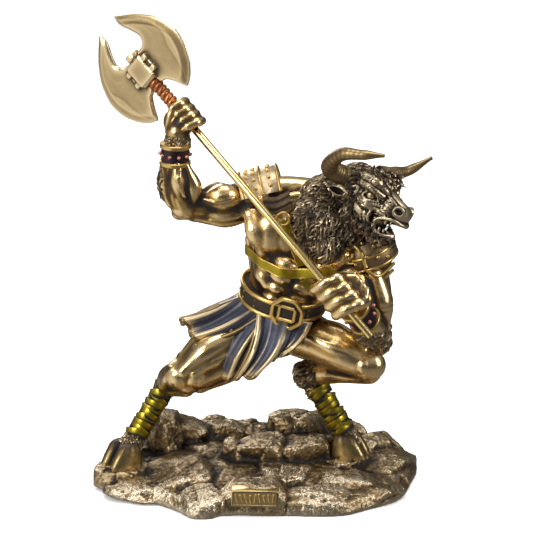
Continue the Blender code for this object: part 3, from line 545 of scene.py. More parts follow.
# %% Arms
def model_arms(clay):
    """The raised right arm, then the folded left one, then veins."""
    ball(clay, (-4, 2, 169.3), (12, 11.8, 11.6))
    tube(clay, [R_SHOULDER, (-22, 0, 165.5), R_ELBOW], [11, 10, 8.2])
    tube(clay, [(-6, -4, 170), (-19, -6.6, 170.8), (-33, -6, 168)], [4.6, 7.3, 3.6], [1, 1.15, 1])
    tube(clay, [(-14, -1, 173), (-24, -1, 173.2), (-34, -3, 170)], [4, 5.4, 3])
    tube(clay, [(-7, -6, 163), (-19, -6.4, 162.3), (-33, -5.6, 162.6)], [3.4, 5.0, 3.2])
    tube(clay, [(-5, -4, 159.5), (-18, -4.6, 157.6), (-34, -5.2, 159.6)], [3.2, 4.6, 2.6])
    tube(clay, [(-6, 3, 161), (-20, 1, 159), (-36, -1, 160.5)], [5.2, 6.6, 5])
    tube(clay, [(-3, -8.5, 164.5), (-14, -9.4, 160), (-26, -8.6, 159)], [1.2, 1.6, 1.0], sides=10)
    ball(clay, R_ELBOW, (9.2, 8.6, 8.8))
    ball(clay, (-43.5, -2, 161), (5, 5, 4.2))
    tube(clay, [R_ELBOW, (-43.5, -5, 178), (-45, -8, 192), R_WRIST], [8.6, 9.4, 7.4, 6.6])
    tube(clay, [(-36, -8, 168.5), (-35.4, -10, 178), (-39.4, -11.5, 190)], [3.2, 4.8, 2.6])
    tube(clay, [(-42, -9.5, 171), (-43.5, -12.6, 181), (-44.6, -13.4, 192)], [3.4, 4.6, 2.8])
    tube(clay, [(-48, -5, 168), (-50.5, -7, 179), (-49.6, -8.5, 192)], [3.6, 5.0, 3.2])
    tube(clay, [R_WRIST, grip(R_GRIP, 5, 3.0, -8)], [6.8, 6.4])
    ball(clay, (62, -8, 139), (13, 12.5, 13))
    tube(clay, [L_SHOULDER, (67, -11, 117), L_ELBOW], [10.6, 8.6, 8])
    tube(clay, [(57, -19, 127), (60.5, -21.5, 114), (64.5, -21, 100)], [5.4, 7.4, 4.4], sides=24)
    ball(clay, (52, -20.5, 128.5), (7.4, 5.6, 6.6))
    tube(clay, [(66, -18, 129), (70, -20.5, 114), (70.5, -19, 100)], [5.4, 7.0, 5.2], sides=24)
    tube(clay, [(70, -3, 128), (71.5, -5, 112), (70, -8, 98)], [5, 5.8, 5])
    tube(clay, [(69, -12, 88.5), L_ELBOW, (61, -25, 103), L_WRIST], [7.2, 9.4, 8.8, 6.2])
    tube(clay, [(70, -20, 92), (66.5, -28, 101), (59, -35, 111)], [3.6, 5.2, 3.0])
    tube(clay, [L_WRIST, grip(L_GRIP, 3, -2, 5)], [6.2, 6.4])
    veins = ([(-13, -12.6, 172), (-22, -13.6, 170), (-30, -12, 171.5)],
             [(-40, -14.6, 173), (-43, -16.8, 182), (-42, -15.6, 190)],
             [(63, -23.6, 121), (66, -24.4, 112), (64, -24.6, 103)])
    for vein in veins:
        tube(clay, vein, [0.7, 0.9, 0.6], sides=8)


model_arms(body_clay)
print("with arms:", body_clay.count, "points of clay")

# %% [markdown]
# Both fists hold the shaft, so they are laid out in its frame. A finger is one tube that bends round
# the shaft from its knuckle.

# %% Fists
def model_right_fist(clay):
    """The raised fist shows its back: tendons fan to four knuckles, and fingers close over the shaft."""
    ball(clay, grip(R_GRIP, 1.6, 3.0, -4.6), (9.0, 5.2, 7.8), DOWN_SHAFT, OVER_SHAFT)
    for low, high in ((-6.0, -5.4), (-1.6, -0.6), (2.8, 3.8), (7.4, 8.8)):
        knuckle = grip(R_GRIP, low, 7.2, -0.7)
        tube(clay, [grip(R_GRIP, 3 + low * 0.3, 4.6, -12), grip(R_GRIP, 1 + low * 0.7, 6.8, -6), knuckle],
             [1.5, 1.7, 1.9], sides=12)
        ball(clay, knuckle, (2.3, 2.3, 2.5), DOWN_SHAFT, OVER_SHAFT)
        bent = grip(R_GRIP, high, 5.0, 4.6)
        path = [knuckle, (knuckle + bent) / 2 + OUT_SHAFT * 0.5, bent, grip(R_GRIP, high, -0.5, 6.2),
                grip(R_GRIP, (low + high) / 2, -5.2, 3.2)]
        tube(clay, path, [2.4, 2.3, 2.7, 2.4, 2.0], sides=18)
    thumb = [grip(R_GRIP, 2, -1, -9), grip(R_GRIP, -4, -5, -7), grip(R_GRIP, -8, -6.5, -1)]
    tube(clay, thumb, [3.6, 3.0, 2.4], sides=12)


def model_left_fist(clay):
    """The lower fist shows its fingers, which close across the front of the shaft."""
    ball(clay, grip(L_GRIP, 0, -3.2, 5.5), (12.4, 6.4, 8.4), DOWN_SHAFT, OVER_SHAFT)
    for along in (-10, -3.9, 2.2, 8.4):
        path = [grip(L_GRIP, along + 3.0, -1.0, 9.8), grip(L_GRIP, along + 2.0, 4.8, 7.9),
                grip(L_GRIP, along + 0.8, 6.0, 3.6),
                grip(L_GRIP, along - 0.5, 6.5, 0), grip(L_GRIP, along - 1.6, 4.2, -6.2),
                grip(L_GRIP, along - 1.6, -1.0, -6.8)]
        tube(clay, path, [3.0, 3.4, 2.9, 3.15, 2.9, 2.4], sides=18)
        tube(clay, [grip(L_GRIP, along + 3.2, 1.4, 9.6), grip(L_GRIP, along * 0.5 + 2.6, 0.2, 15)],
             [2.4, 2.0], sides=14)
    thumb = [grip(L_GRIP, -6, -6, 2), grip(L_GRIP, -11, -5, -4), grip(L_GRIP, -11.5, 0.5, -8.5)]
    tube(clay, thumb, [3.4, 3.1, 2.5], sides=12)


model_right_fist(body_clay)
model_left_fist(body_clay)
print("with fists:", body_clay.count, "points of clay")

# %% [markdown]
# The legs are a man's down to the knee and a bull's below it: the heel is a raised hock, and the foot
# stands on its toes. The thighs carry long bundles that run from the hip to the knee.

# %% Legs
def model_legs(clay):
    """The stretched right leg, then the bent left one, each from hip to fetlock."""
    tube(clay, [R_HIP, (-24, -5, 80), R_KNEE], [15.0, 14.6, 9.4], sides=40, steps=12)
    tube(clay, [(-12, -10, 91), (-28, -14.6, 83.6), (-42, -18.2, 72)], [6.4, 7.8, 4.2])
    tube(clay, [(-9, -4, 95), (-27, -7, 89.6), (-42, -10, 77)], [5, 7, 4.6])
    tube(clay, [(0, -7, 82), (-17, -12, 74), (-33, -17, 66)], [5.4, 7.2, 4.2])
    tube(clay, [(0, -1, 78), (-16, -4, 68), (-33, -9, 60.5)], [6, 7, 5])
    ball(clay, (-34.5, -17.2, 69), (8.2, 5.0, 5.4), vec(0.8, 0, 0.6))
    ball(clay, (-44.8, -16.4, 68.4), (6.6, 5.2, 6.6))
    ball(clay, (-40, -14.2, 62.6), (6.4, 5.0, 5.2))
    tube(clay, [(-47.5, -16, 71.5), (-51, -11, 65), (-53, -4, 59)], [3.6, 4.0, 3.2])
    tube(clay, [(-13, -15, 84), (-25, -18.4, 78), (-36, -20, 71.5)], [2.4, 4.0, 2.6])
    tube(clay, [(-22, -12, 66.5), (-30, -15.4, 65.4), (-39, -17.4, 65.6)], [2.6, 3.8, 2.6])
    tube(clay, [R_KNEE, (-50, 0, 62), R_HOCK], [8.4, 7.8, 6])
    tube(clay, [(-41, -9, 58.5), (-47, -2, 56), (-53, 5, 52.5)], [5.2, 5, 3.6])
    tube(clay, [R_HOCK, (-63, 6, 38), R_FETLOCK, (-75, -2, 20)], [5.2, 4.8, 5.4, 6.4])
    tube(clay, [L_HIP, (43, -11, 84.5), L_KNEE], [14.4, 12.4, 9.4], sides=40, steps=12)
    tube(clay, [(22, 0, 84), (42, -9, 77.5), (57, -17, 71.8)], [6.6, 7.4, 5.0])
    tube(clay, [(28, -14, 92), (42, -20.4, 87), (55, -23.6, 82)], [2.6, 4.4, 2.6])
    tube(clay, [(26, -8, 91), (43, -17.6, 86.6), (58, -23, 80.5)], [5, 6.6, 3.8])
    tube(clay, [(30, -4, 96), (46, -12, 92.5), (60, -19, 86)], [4.6, 6.4, 4])
    tube(clay, [(30, -13, 84), (44, -19, 80), (56, -23, 76.5)], [2.8, 3.6, 2.2])
    ball(clay, (65, -20.4, 76.5), (8.4, 7.8, 8.6))
    ball(clay, (60.5, -25.4, 77), (4.4, 3.2, 5.0))
    tube(clay, [(64, -18, 71.6), (48, -5, 67), L_HOCK], [7.2, 6.6, 6.6])
    tube(clay, [(60, -20.5, 70.5), (50, -12.5, 67.4), (40, -4, 64.5)], [3.6, 4.2, 2.6])
    ball(clay, (30.5, 8, 61.5), (8.2, 8, 7.8))
    tube(clay, [L_HOCK, (41, 6, 42), L_FETLOCK, (53, 2, 22)], [5.8, 5.4, 6, 6.8])

legs_clay = Clay()
model_legs(legs_clay)
print("legs:", legs_clay.count, "points of clay")

# %% [markdown]
# The figure is cast in two skins that meet under the loincloth. Spots with a centre, a reach and an
# amount then add painted shade and light to the hollow numbers: darker on the raised arm, both fists,
# the left upper arm and the belly, lighter on the forward thigh.

# %% Cast the body
MOST_PATINA = 0.9
PAINTED_SHADE_AND_LIGHT = (((-45, -8, 184), 24, 0.75), ((-42, -10, 214), 17, 0.85), ((-22, -6, 165), 16, 0.25),
        ((45, -30, 118), 16, 0.5), ((14, -20, 118), 18, 0.3), ((66, -18, 112), 16, 0.35),
        ((-24, -14, 78), 22, -0.55))
BODY_PIECES = [cast("minotaur_upper_body", body_clay, 0.78, smooth=2, grain=0.12, fill=2),
               cast("minotaur_legs", legs_clay, 0.74, smooth=2, grain=0.11, fill=2)]
for obj in BODY_PIECES:
    points = read(obj.data)[0]
    hollow = np.empty(len(points), np.float32)
    obj.data.attributes["hollow"].data.foreach_get("value", hollow)
    hollow = np.minimum(hollow, MOST_PATINA)
    # Painted shade and light in spots, added to the hollow numbers.
    for centre, radius, amount in PAINTED_SHADE_AND_LIGHT:
        near = np.linalg.norm(points - centre, axis=1) / radius
        hollow += (amount * np.clip(1.5 - near, 0, 1)).astype(np.float32)
    set_hollow(obj, hollow)

# %% [markdown]
# The head is a roaring bull's. It is modelled finer than the body, in its own frame of forward, up and
# right, so that one side can be written and mirrored. Folds, lids and lips are thin rolls of clay laid
# on the masses. Openings such as nostrils, ears and the mouth are pressed in afterwards, as with the
# end of a stick.

# %% Head
def head_frame(points):
    """The points' forward, up and right coordinates in the head's frame."""
    return (points - SKULL) @ np.stack((FACE, FACE_UP, FACE_RIGHT)).T


def model_skull(clay):
    """Skull, muzzle, nose bridge and jaw, which lie on the middle plane."""
    ball(clay, head(-3, 1, 0), (14.5, 12.6, 11.6), FACE, FACE_UP)
    ball(clay, head(-1, 8, 0), (11, 9.6, 6.6), FACE, FACE_UP)
    tube(clay, [head(5, 1.2, 0), head(17, -1.2, 0), head(27, -1.8, 0)],
         [9.6, 6.6, 5.4], 1.15, FACE_RIGHT, 28)
    tube(clay, [head(8, 6, 0), head(18, 4.6, 0), head(28, 2.4, 0)], [5, 3.4, 2.4], 1.4, FACE_RIGHT)
    ball(clay, head(29, -1.6, 0), (4.4, 7.2, 4.8), FACE, FACE_UP)
    tube(clay, [head(2, -11, 0), head(14, -15, 0), head(24.5, -16, 0)],
         [7.2, 3.6, 2.2], 1.45, FACE_RIGHT, 24)
    tube(clay, [head(24, -15.8, -3.6), head(27, -15.4, 0), head(24, -15.8, 3.6)], [2.0, 2.6, 2.0])
    ball(clay, head(14, -9, 0), (8, 6, 6), FACE, FACE_UP)


def model_brow(clay, s):
    """Brow rolls, the eye, its upper lid and three bags under it. The side s is -1 or 1."""
    tube(clay, [head(5, 11, 10.2 * s), head(12, 10.6, 9.9 * s), head(17.4, 7.2, 5.4 * s)], [2.6, 3.2, 2.1])
    tube(clay, [head(4, 7.6, 11.4 * s), head(11, 7.0, 11.4 * s), head(17.4, 4.6, 7.4 * s)], [1.6, 2.4, 1.4])
    tube(clay, [head(7, 13.6, 7.4 * s), head(13, 12.6, 6.8 * s), head(17, 9.8, 3.2 * s)], [1.4, 2.0, 1.2])
    ball(clay, head(11.2, 3, 9.6 * s), (2.6, 2.6, 2.6))
    lid = [head(7.4, 2.6, 11.2 * s), head(10, 5.4, 11.6 * s), head(14, 4.6, 9.8 * s),
           head(15.6, 2.4, 8.2 * s)]
    tube(clay, lid, [0.8, 1.0, 1.0, 0.7], sides=10)
    for drop in range(3):
        low = [head(6.6 - drop, 1.6 - drop * 1.6, 11.6 * s),
               head(11, -0.4 - drop * 1.7, (11.8 + drop * 0.2) * s),
               head(16.4 + drop, 1.0 - drop * 1.9, (8.6 - drop * 0.1) * s)]
        tube(clay, low, [0.6, 0.95, 0.6], sides=10)


def model_muzzle(clay, s):
    """Wrinkles that run down the nose, the cheek and a rolled nostril."""
    for fold in range(6):
        start = head(17 - fold * 0.4, 6.2 - fold * 2.0, (4.2 + fold * 0.8) * s)
        end = head(26 - fold * 0.4, 2.6 - fold * 1.6, (4.2 + fold * 0.62) * s)
        bow = head(21.5, 4.9 - fold * 1.85, (5.0 + fold * 0.72) * s)
        tube(clay, [start, bow, end], [0.6, 0.95, 0.6], sides=10)
    ball(clay, head(7, -6, 7.6 * s), (8, 4.4, 7), FACE, FACE_UP)
    ball(clay, head(28.8, 0.2, 5.2 * s), (3.4, 2.8, 3.6), FACE, FACE_UP)
    ring, _ = oval(head(29.4, 0.4, 6.6 * s), unit(FACE * 0.62 + FACE_RIGHT * 0.78 * s), FACE_UP, 2.5, 2.7,
                   24)
    carry(clay, ROUND * 1.05, ring, unit(ring - ring.mean(0)), closed=True)


print("skull, brow and muzzle are ready")

# %% [markdown]
# The open mouth makes the roar. Lips are rolls that follow both jaws, creases arc round the corner of
# the mouth, and each tooth is a small ellipsoid.

# %% Mouth and ears
def model_mouth(clay, s):
    """Both lips, four creases and four teeth in each jaw."""
    lip = [head(19.4, -12.6, 8.6 * s), head(18.6, -9.2, 9.4 * s), head(21.4, -6.4, 9.0 * s),
           head(27.6, -5.0, 7.6 * s),
           head(32.4, -6.0, 3.6 * s), head(33.4, -6.6, 0)]
    tube(clay, lip, [0.8, 0.9, 0.9, 0.95, 1.0, 1.1], sides=12)
    lower = [head(18.9, -10.4, 9.0 * s), head(20.2, -14.6, 7.6 * s),
             head(24.6, -15.2, 5.4 * s), head(28.0, -13.8, 0)]
    tube(clay, lower, [0.8, 1.0, 1.1, 1.1], sides=12)
    for arc in range(4):
        crease = [head(15.4 - arc * 2.4, -3.2 - arc * 0.4, 9.8 * s),
                  head(14.4 - arc * 2.6, -8.2, (10.6 - arc * 0.1) * s),
                  head(16.4 - arc * 2.6, -13.6 - arc * 0.3, 8.0 * s)]
        tube(clay, crease, [0.7, 1.1, 0.7], sides=10)
    for tooth in range(4):
        ball(clay, head(24.4 + tooth * 2.5, -7.6 + 0.15 * tooth, (7.2 - tooth * 1.75) * s),
             (1.0, 0.9, 1.7), FACE, FACE_UP, 12, 8)
        ball(clay, head(21.6 + tooth * 1.9, -12.6 - 0.2 * tooth, (6.2 - tooth * 1.7) * s),
             (0.9, 0.8, 1.5), FACE, FACE_UP, 12, 8)


def ear_ends(s):
    """The root and the tip of an ear."""
    return head(-1.5, -2.2, 11.5 * s), head(-9.8, -1.0, 21.6 * s)


def model_ear(clay, s):
    """A tube that widens and comes to a point."""
    base, tip = ear_ends(s)
    ear = [base, (base + tip) / 2 + FACE_UP * 0.2, tip]
    tube(clay, ear, [2.4, 3.3, 0.7], [1.0, 1.15, 1.0], FACE_UP)


MANE_MASSES = (((42, -4, 169), (17.4, 16, 13.4)), ((35, -11, 158), (16.4, 17, 16.4)),
               ((37, -19, 148), (12.2, 11, 10.2)), ((50, -13, 156), (11.4, 12, 13.2)))
head_clay = Clay()
model_skull(head_clay)
for s in (-1, 1):
    for model in (model_brow, model_muzzle, model_mouth, model_ear):
        model(head_clay, s)
for centre, semi in MANE_MASSES:
    ball(head_clay, centre, semi)
print("head:", head_clay.count, "points of clay")

# %% [markdown]
# Openings are pressed into the finished skin. A point inside an ellipsoid slides inwards until it meets
# the ellipsoid's far wall, which gives a clean dent and keeps the skin closed. The throat and the lips
# then get painted shade: their hollow numbers are raised, so that the open mouth comes out dark.

# %% Nostrils, ears and throat
def press(points, centre, semi, x_axis, z_axis, inward):
    """Points inside an ellipsoid slide along a direction until they lie on its far wall."""
    x = unit(x_axis)
    z = square(z_axis, x)
    frame_of = np.stack((x, np.cross(z, x), z)) / np.array(semi)[:, None]
    p = (points - centre) @ frame_of.T
    d = frame_of @ unit(inward)
    a, b, c = d @ d, p @ d, (p * p).sum(-1) - 1
    inside = c < 0
    step = np.where(inside, (-b + np.sqrt(np.maximum(b * b - a * c, 0))) / a, 0)
    return points + step[:, None] * unit(inward)


def press_face(points):
    """Two nostrils, two ears and the mouth."""
    for s in (-1, 1):
        deep = unit(FACE * -0.5 - FACE_RIGHT * 0.85 * s)
        points = press(points, head(29.9, 0.5, 7.4 * s), (2.0, 2.4, 1.75), deep, FACE_UP, deep)
        inward = unit((0.25, 1, -0.1)) if s > 0 else unit(FACE_RIGHT + FACE * -0.3)
        base, tip = ear_ends(s)
        points = press(points, (base + tip) / 2 - inward * 2.4, (4.6, 3.4, 1.9),
                       unit(tip - base), FACE_UP, inward)
    return press(points, head(28, -9.8, 0), (8.2, 7.4, 3.0), FACE, FACE_UP, -FACE)


def inside(points, centre, semi):
    """The squared share of an ellipsoid's reach in the head's frame: below 1 is inside it."""
    return ((head_frame(points) - centre) ** 2 / np.square(semi)).sum(-1)


bull_head = cast("minotaur_head", head_clay, 0.54, smooth=1, grain=0.06)
points, _, edges = read(bull_head.data)
move_points(bull_head.data, taubin(press_face(points), edges, 1))
points, normals, edges = read(bull_head.data)
# Painted shade in the open mouth: the throat and the lips round it are made darker.
throat_shade = 1.6 * np.clip(1.1 - inside(points, (23.5, -10.2, 0), (8.5, 3.9, 6.6)), 0, 1)
mouth_shade = 1.1 * np.clip(1.3 - inside(points, (25.0, -10.4, 0), (10.5, 5.4, 11.0)), 0, 1)
set_hollow(bull_head, hollows(points, normals, edges, 0.05) + throat_shade + mouth_shade)

# %% [markdown]
# Horns grow in rings, wide at the root and smooth at the tip. Each is one tube whose radius carries a
# fading ripple along its length.

# %% Horns
def horn(clay, points, radii, rings, count=120):
    """A tube along a curve, its radius an eased list plus a ripple of the length that fades to the tip."""
    path = curve(points, count)
    t = np.linspace(0, 1, count)
    ripple = (1.1 - t) * np.sin(2 * np.pi * rings * t**0.8) ** 3
    groove = (1.1 - t) * np.sin(2 * np.pi * rings * t**0.8)
    radius = ease(radii, count) * (1 + 0.04 * ripple)
    tangent = unit(np.gradient(path, axis=0))
    across = square(UP + 0.3 * SIDE, tangent)
    other = np.cross(tangent, across)
    a = np.linspace(0, 2 * np.pi, 24, endpoint=False)[None, :, None]
    ring = across[:, None] * np.cos(a) + other[:, None] * np.sin(a)
    deep = np.interp(t, (0, 0.15, 0.5, 1), (0.8, 0.4, 0.25, -0.1))
    clay.rings(path[:, None] + ring * radius[:, None, None], depth=deep - 0.28 * groove)


horn_clay = Clay()
horn(horn_clay, [head(-8, 5, 7), head(-9.6, 6.6, 14), head(-12, 9.5, 23),
                 head(-3, 19.8, 31), head(9, 24.5, 30.5),
                 head(19.6, 28.6, 26.4)], [6.0, 5.6, 4.7, 3.7, 2.8, 1.1], 30)
horn(horn_clay, [head(2, 12, -7), head(6, 14.5, -15), head(9.5, 18.5, -25), head(16.8, 29.6, -31.2)],
     [5.0, 4.0, 2.9, 1.1], 24)
horns = shape("minotaur_horns", horn_clay, 60)

# %% [markdown]
# Fur is cast as many small curved locks. A lock is a flat tapering tube of a few faces that leaves the
# skin, bends along the lie of the fur and comes to a point. Roots are skin points of a region, thinned
# to one in each small cell, and all locks of a region are worked out together as one array.

# %% Fur
def thin_out(points, cell, seed):
    """One point for each cell of a grid, taken in a shuffled order."""
    order = np.random.default_rng(seed).permutation(len(points))
    _, first = np.unique(np.floor(points[order] / cell).astype(int), axis=0, return_index=True)
    return order[first]


def fur(clay, roots, normals, lie, length, radius, seed, lift=0.9, curl=0.9, dark=1.0, sides=4, stations=5):
    """Locks: root + lie * length * t + normal * lift * hump(t) + side * curl * wave(t), tapering."""
    pick = np.random.default_rng(seed)
    n = len(roots)
    lie = square(lie + pick.normal(0, 0.28, (n, 3)), normals)
    side = np.cross(normals, lie)
    t = np.linspace(0, 1, stations)[None, :, None]
    scale = pick.uniform(0.7, 1.3, (n, 1, 1))
    phase = pick.uniform(0, 2 * np.pi, (n, 1, 1))
    wave = np.sin(2 * np.pi * 0.8 * t + phase) - np.sin(phase)
    path = (roots - normals * 0.5)[:, None] + lie[:, None] * length * scale * t
    hump = np.sin(np.pi * t * 0.85) + 0.25 * t
    path = path + normals[:, None] * lift * hump + side[:, None] * curl * wave
    taper = np.interp(t, (0, 0.2, 0.4, 0.6, 0.8, 1), (0.7, 1.0, 1.05, 0.85, 0.5, 0.1))
    width = radius * scale[..., None] * taper[..., None]
    a = np.linspace(0, 2 * np.pi, sides, endpoint=False)[None, None, :, None]
    ring = side[:, None, None] * np.cos(a) * 1.15 + normals[:, None, None] * np.sin(a) * 0.85
    rings = path[:, :, None] + ring * width
    body = rings.reshape(n, -1, 3)
    each = np.concatenate([body, path[:, :1], path[:, -1:]], axis=1)
    size = stations * sides + 2
    j = np.arange(sides)
    m = (j + 1) % sides
    last = (stations - 1) * sides
    quads = strip(stations, sides)
    root_cap = np.stack([np.full(sides, size - 2), m, j], -1)
    tip_cap = np.stack([np.full(sides, size - 1), last + j, last + m], -1)
    caps = np.concatenate([root_cap, tip_cap])
    shift = (np.arange(n) * size)[:, None, None]
    # Each lock runs from painted shade at its root, between the locks, to a light tip; dark sets the root.
    depth = np.tile(np.append(np.repeat(np.linspace(dark, -0.65, stations), sides), (dark, -0.65)), n)
    clay.add(each.reshape(-1, 3), (quads[None] + shift).reshape(-1, 4),
             (caps[None] + shift).reshape(-1, 3), depth=depth)


def grow(clay, skin, where, cell, seed, lie, length, radius, **settings):
    """Locks on a region of a skin, one in each small cell."""
    points, normals = skin
    index = np.flatnonzero(where)
    index = index[thin_out(points[index], cell, seed)]
    lie = np.broadcast_to(lie, points.shape)[index]
    fur(clay, points[index], normals[index], lie, length, radius, seed + 1, **settings)
    return len(index)


print("fur is ready")

# %% [markdown]
# The mane falls down the neck and chest and sweeps back over the skull. A crown of short locks lies
# between the horns, a tuft hangs over the brow, and very fine short hair covers the cheeks. Eyes, mouth
# and nose stay bare.

# %% Mane and hide
skin = read(bull_head.data)[:2]
forward, up, right = head_frame(skin[0]).T
bare_face = (forward > 5 - 0.35 * (up + 4)) & (up > -15)
beard = (forward > 4) & (forward < 19) & (up < -11.5)
ear_near = (np.abs(right) > 11.5) & (np.abs(up + 1.6) < 4.6) & (forward < 1) & (forward > -13)
crown = (up > 9) & (forward < 8) & (np.abs(right) < 9)
tuft = (up > 8) & (forward > 1) & (forward < 15) & (np.abs(right) < 9)
eye_gap = np.linalg.norm(np.stack((forward - 11.6, up - 3.0, np.abs(right) - 10.0), -1), axis=1)
mouth = (np.abs(up + 10.5) < 5.6) & (forward > 16.5)
bridge = (np.abs(right) < 3.6) & (forward > 13)
hide = bare_face & (forward < 24) & (eye_gap > 4.2) & ~mouth & ~bridge & (up > -14)
lean = np.clip((skin[0][:, 2] - 140) / 45, 0, 1)[:, None]
fall = (1 - lean) * vec(-0.35, -0.1, -1) + lean * vec(-1, 0.1, -0.45)
mane = Clay()
grow(mane, skin, (~bare_face | beard) & ~ear_near, 1.85, 1, fall, 6.4, 0.8, lift=1.2, curl=1.2)
grow(mane, skin, crown, 1.9, 3, FACE_UP * 0.2 - FACE, 3.4, 0.7)
grow(mane, skin, hide, 1.2, 5, -FACE - FACE_UP * 0.45, 2.5, 0.38, lift=0.25, curl=0.5, sides=3, stations=4)
grow(mane, skin, tuft, 2.1, 7, FACE * 0.8 + FACE_UP * 0.1, 4.4, 0.72, lift=1.5, curl=1.6)
mane_fur = shape("minotaur_mane", mane, 60)

# %% [markdown]
# Straps, the belt and the guards lie on the body. The straps' paths are found by looking at the cast
# body from the front or from around the trunk. A strap is then one flat section carried along its path,
# with the skin's own direction as its out direction.

# %% Feeling for the skin
DIP_MOST = 4.0
STAND_OFF = 0.3
bpy.context.view_layer.update()
SKIN = BVHTree.FromObject(BODY_PIECES[0], bpy.context.evaluated_depsgraph_get())


def feel(start, direction):
    """Where a ray from a point meets the body."""
    return np.array(SKIN.ray_cast(start * MM, unit(direction))[0]) / MM


def around_trunk(heights, count=120, centre=vec(24, 1, 0), reach=30.0):
    """Skin points round the trunk, felt from inside, with their height read from a list over the angle."""
    points = []
    for angle in np.linspace(0, 2 * np.pi, count, endpoint=False):
        height = np.interp(math.degrees(angle), *heights)
        middle = centre + UP * height
        out = vec(math.sin(angle), -math.cos(angle), 0)
        hit = feel(middle, out)
        points.append(middle + out * min(np.linalg.norm(hit - middle), reach))
    felt = np.array(points)
    points = felt
    for _ in range(5):
        points = (np.roll(points, 1, 0) + 2 * points + np.roll(points, -1, 0)) / 4
    out = unit((points - centre) * (1, 1, 0))
    short = np.clip(((felt - points) * out).sum(-1), 0, DIP_MOST)
    short = (np.roll(short, 1) + short + np.roll(short, -1)) / 3
    return points + out * (short + STAND_OFF)[:, None], out


print("the navel's skin is at", feel(vec(18.5, -90, 121), -FRONT).round(1))

# %% [markdown]
# One strap runs round the chest, one climbs to a ring under the shoulder, and a short end hangs below.
# The chest strap's height is read from the photograph at a few angles, and the rest is felt.

# %% Harness
STRAP_THICKNESS = 1.3
EDGE_INSET = 0.2
EDGE_LEVEL = 0.72
EDGE_RADIUS = 0.42


def front_path(stations, count):
    """A path over the front of the body, from a list of sideways places and heights."""
    stations = curve([(x, 0, z) for x, z in stations], count)
    return np.array([feel(p + FRONT * 90, -FRONT) for p in stations])


def strap(clay, edges, path, out, width, closed=False):
    """A strap between two thin raised edges."""
    carry(clay, flat_profile(width, STRAP_THICKNESS), path, out, closed)
    tangent = unit(np.gradient(path, axis=0))
    across = np.cross(square(out, tangent), tangent)
    for s in (-1, 1):
        rail = path + across * s * (width / 2 - EDGE_INSET) + unit(out) * STRAP_THICKNESS * EDGE_LEVEL
        carry(edges, ROUND * EDGE_RADIUS, rail, out, closed)


def ring_piece(clay, centre, normal, side, radius, wire):
    """A round wire bent to a ring."""
    path, out = oval(centre, normal, side, radius, radius, 30)
    carry(clay, ROUND * wire, path, out, closed=True)


straps, strap_edges, rings = Clay(), Clay(), Clay()
chest_heights = ((0, 12, 38, 60, 80, 100, 150, 200, 250, 285, 305, 327, 345, 360),
                 (130.5, 131, 133, 136, 139, 141.5, 146, 146, 143, 138.5, 135, 131.5, 130, 130.5))
path, out = around_trunk(chest_heights)
strap(straps, strap_edges, path, out, 5.4, closed=True)
upper = front_path(((25, 134), (21.5, 144), (17.5, 154), (14.8, 160.5)), 24)
strap(straps, strap_edges, upper, np.broadcast_to(FRONT + SIDE * 0.2, upper.shape), 5.2)
ring_piece(rings, vec(52.5, -21.5, 141.5), unit(FRONT + SIDE * 0.5), UP, 5.0, 1.0)
ring_piece(rings, vec(14.5, -20.6, 162), FRONT, SIDE, 3.6, 0.8)
stub = front_path(((26, 127.5), (28.4, 124), (31.5, 120)), 12)
stub[:, 1] = np.polyval(np.polyfit(stub[:, 2], stub[:, 1], 1), stub[:, 2])
strap(straps, strap_edges, stub, np.broadcast_to(FRONT, stub.shape), 4.6)
strap_piece = shape("harness_straps", straps)
strap_edge_piece = shape("harness_edges", strap_edges, 60)
ring_pieces = shape("harness_rings", rings, 60)

# %% [markdown]
# The belt is a dark leather band between two gold rims, laid on a tilted ellipse about the waist, with
# two rows of studs. Its buckle is an eight-sided frame round a four-sided one.

# %% Belt and buckle
WAIST = vec(15, 0.2, 113)
WAIST_UP = unit((0.167, -0.207, 0.964))
WAIST_SIDE = unit((0.942, -0.2345, -0.213))
BELT_WIDE, BELT_DEEP, BELT_HEIGHT, RIM_OUT = 24.2, 22.8, 9.6, 0.5
belt, belt_rims, belt_studs = Clay(), Clay(), Clay()
path, out = oval(WAIST, WAIST_UP, WAIST_SIDE, BELT_WIDE, BELT_DEEP, 120)
h = BELT_HEIGHT / 2
carry(belt, ((-h, -4), (h, -4), (h, 0), (h * 0.5, 0.45), (0, 0.6), (-h * 0.5, 0.45), (-h, 0)), path, out,
      closed=True, depth=-0.3)
for s in (-1, 1):
    rim, out_rim = oval(WAIST + WAIST_UP * s * (h - 0.3), WAIST_UP, WAIST_SIDE,
                        BELT_WIDE + RIM_OUT, BELT_DEEP + RIM_OUT, 120)
    carry(belt_rims, ROUND * (1.25, 1.15), rim, out_rim, closed=True)
studs, stud_out = oval(WAIST, WAIST_UP, WAIST_SIDE, BELT_WIDE + RIM_OUT, BELT_DEEP + RIM_OUT, 14, 0.2)
for place, direction in zip(studs, stud_out):
    for s in (-1, 1):
        ball(belt_studs, place + WAIST_UP * s * 1.9, (0.8, 0.8, 0.6), WAIST_SIDE, direction, 12, 8)
buckle, buckle_plate = Clay(), Clay()
BUCKLE = vec(17, -23.9, 108.5)
BUCKLE_OUT = unit(np.cross(WAIST_SIDE, WAIST_UP))
CORNER_CUT = 0.10
FRAME_BAR = np.array(((-1, -1), (1, -1), (1, 0.5), (0.6, 1), (-0.6, 1), (-1, 0.5)), float)


def polygon_frame(clay, centre, radius, corners, turn, bar, squash=1.0):
    """A closed bar round a polygon, with its corners cut short so that the section keeps its width."""
    a = np.repeat(np.linspace(0, 2 * np.pi, corners, endpoint=False) + turn, 2)
    a[::2] -= CORNER_CUT
    a[1::2] += CORNER_CUT
    path = centre + radius * (WAIST_SIDE * np.cos(a)[:, None] + WAIST_UP * squash * np.sin(a)[:, None])
    carry(clay, FRAME_BAR * bar, path, np.broadcast_to(BUCKLE_OUT, path.shape), closed=True)


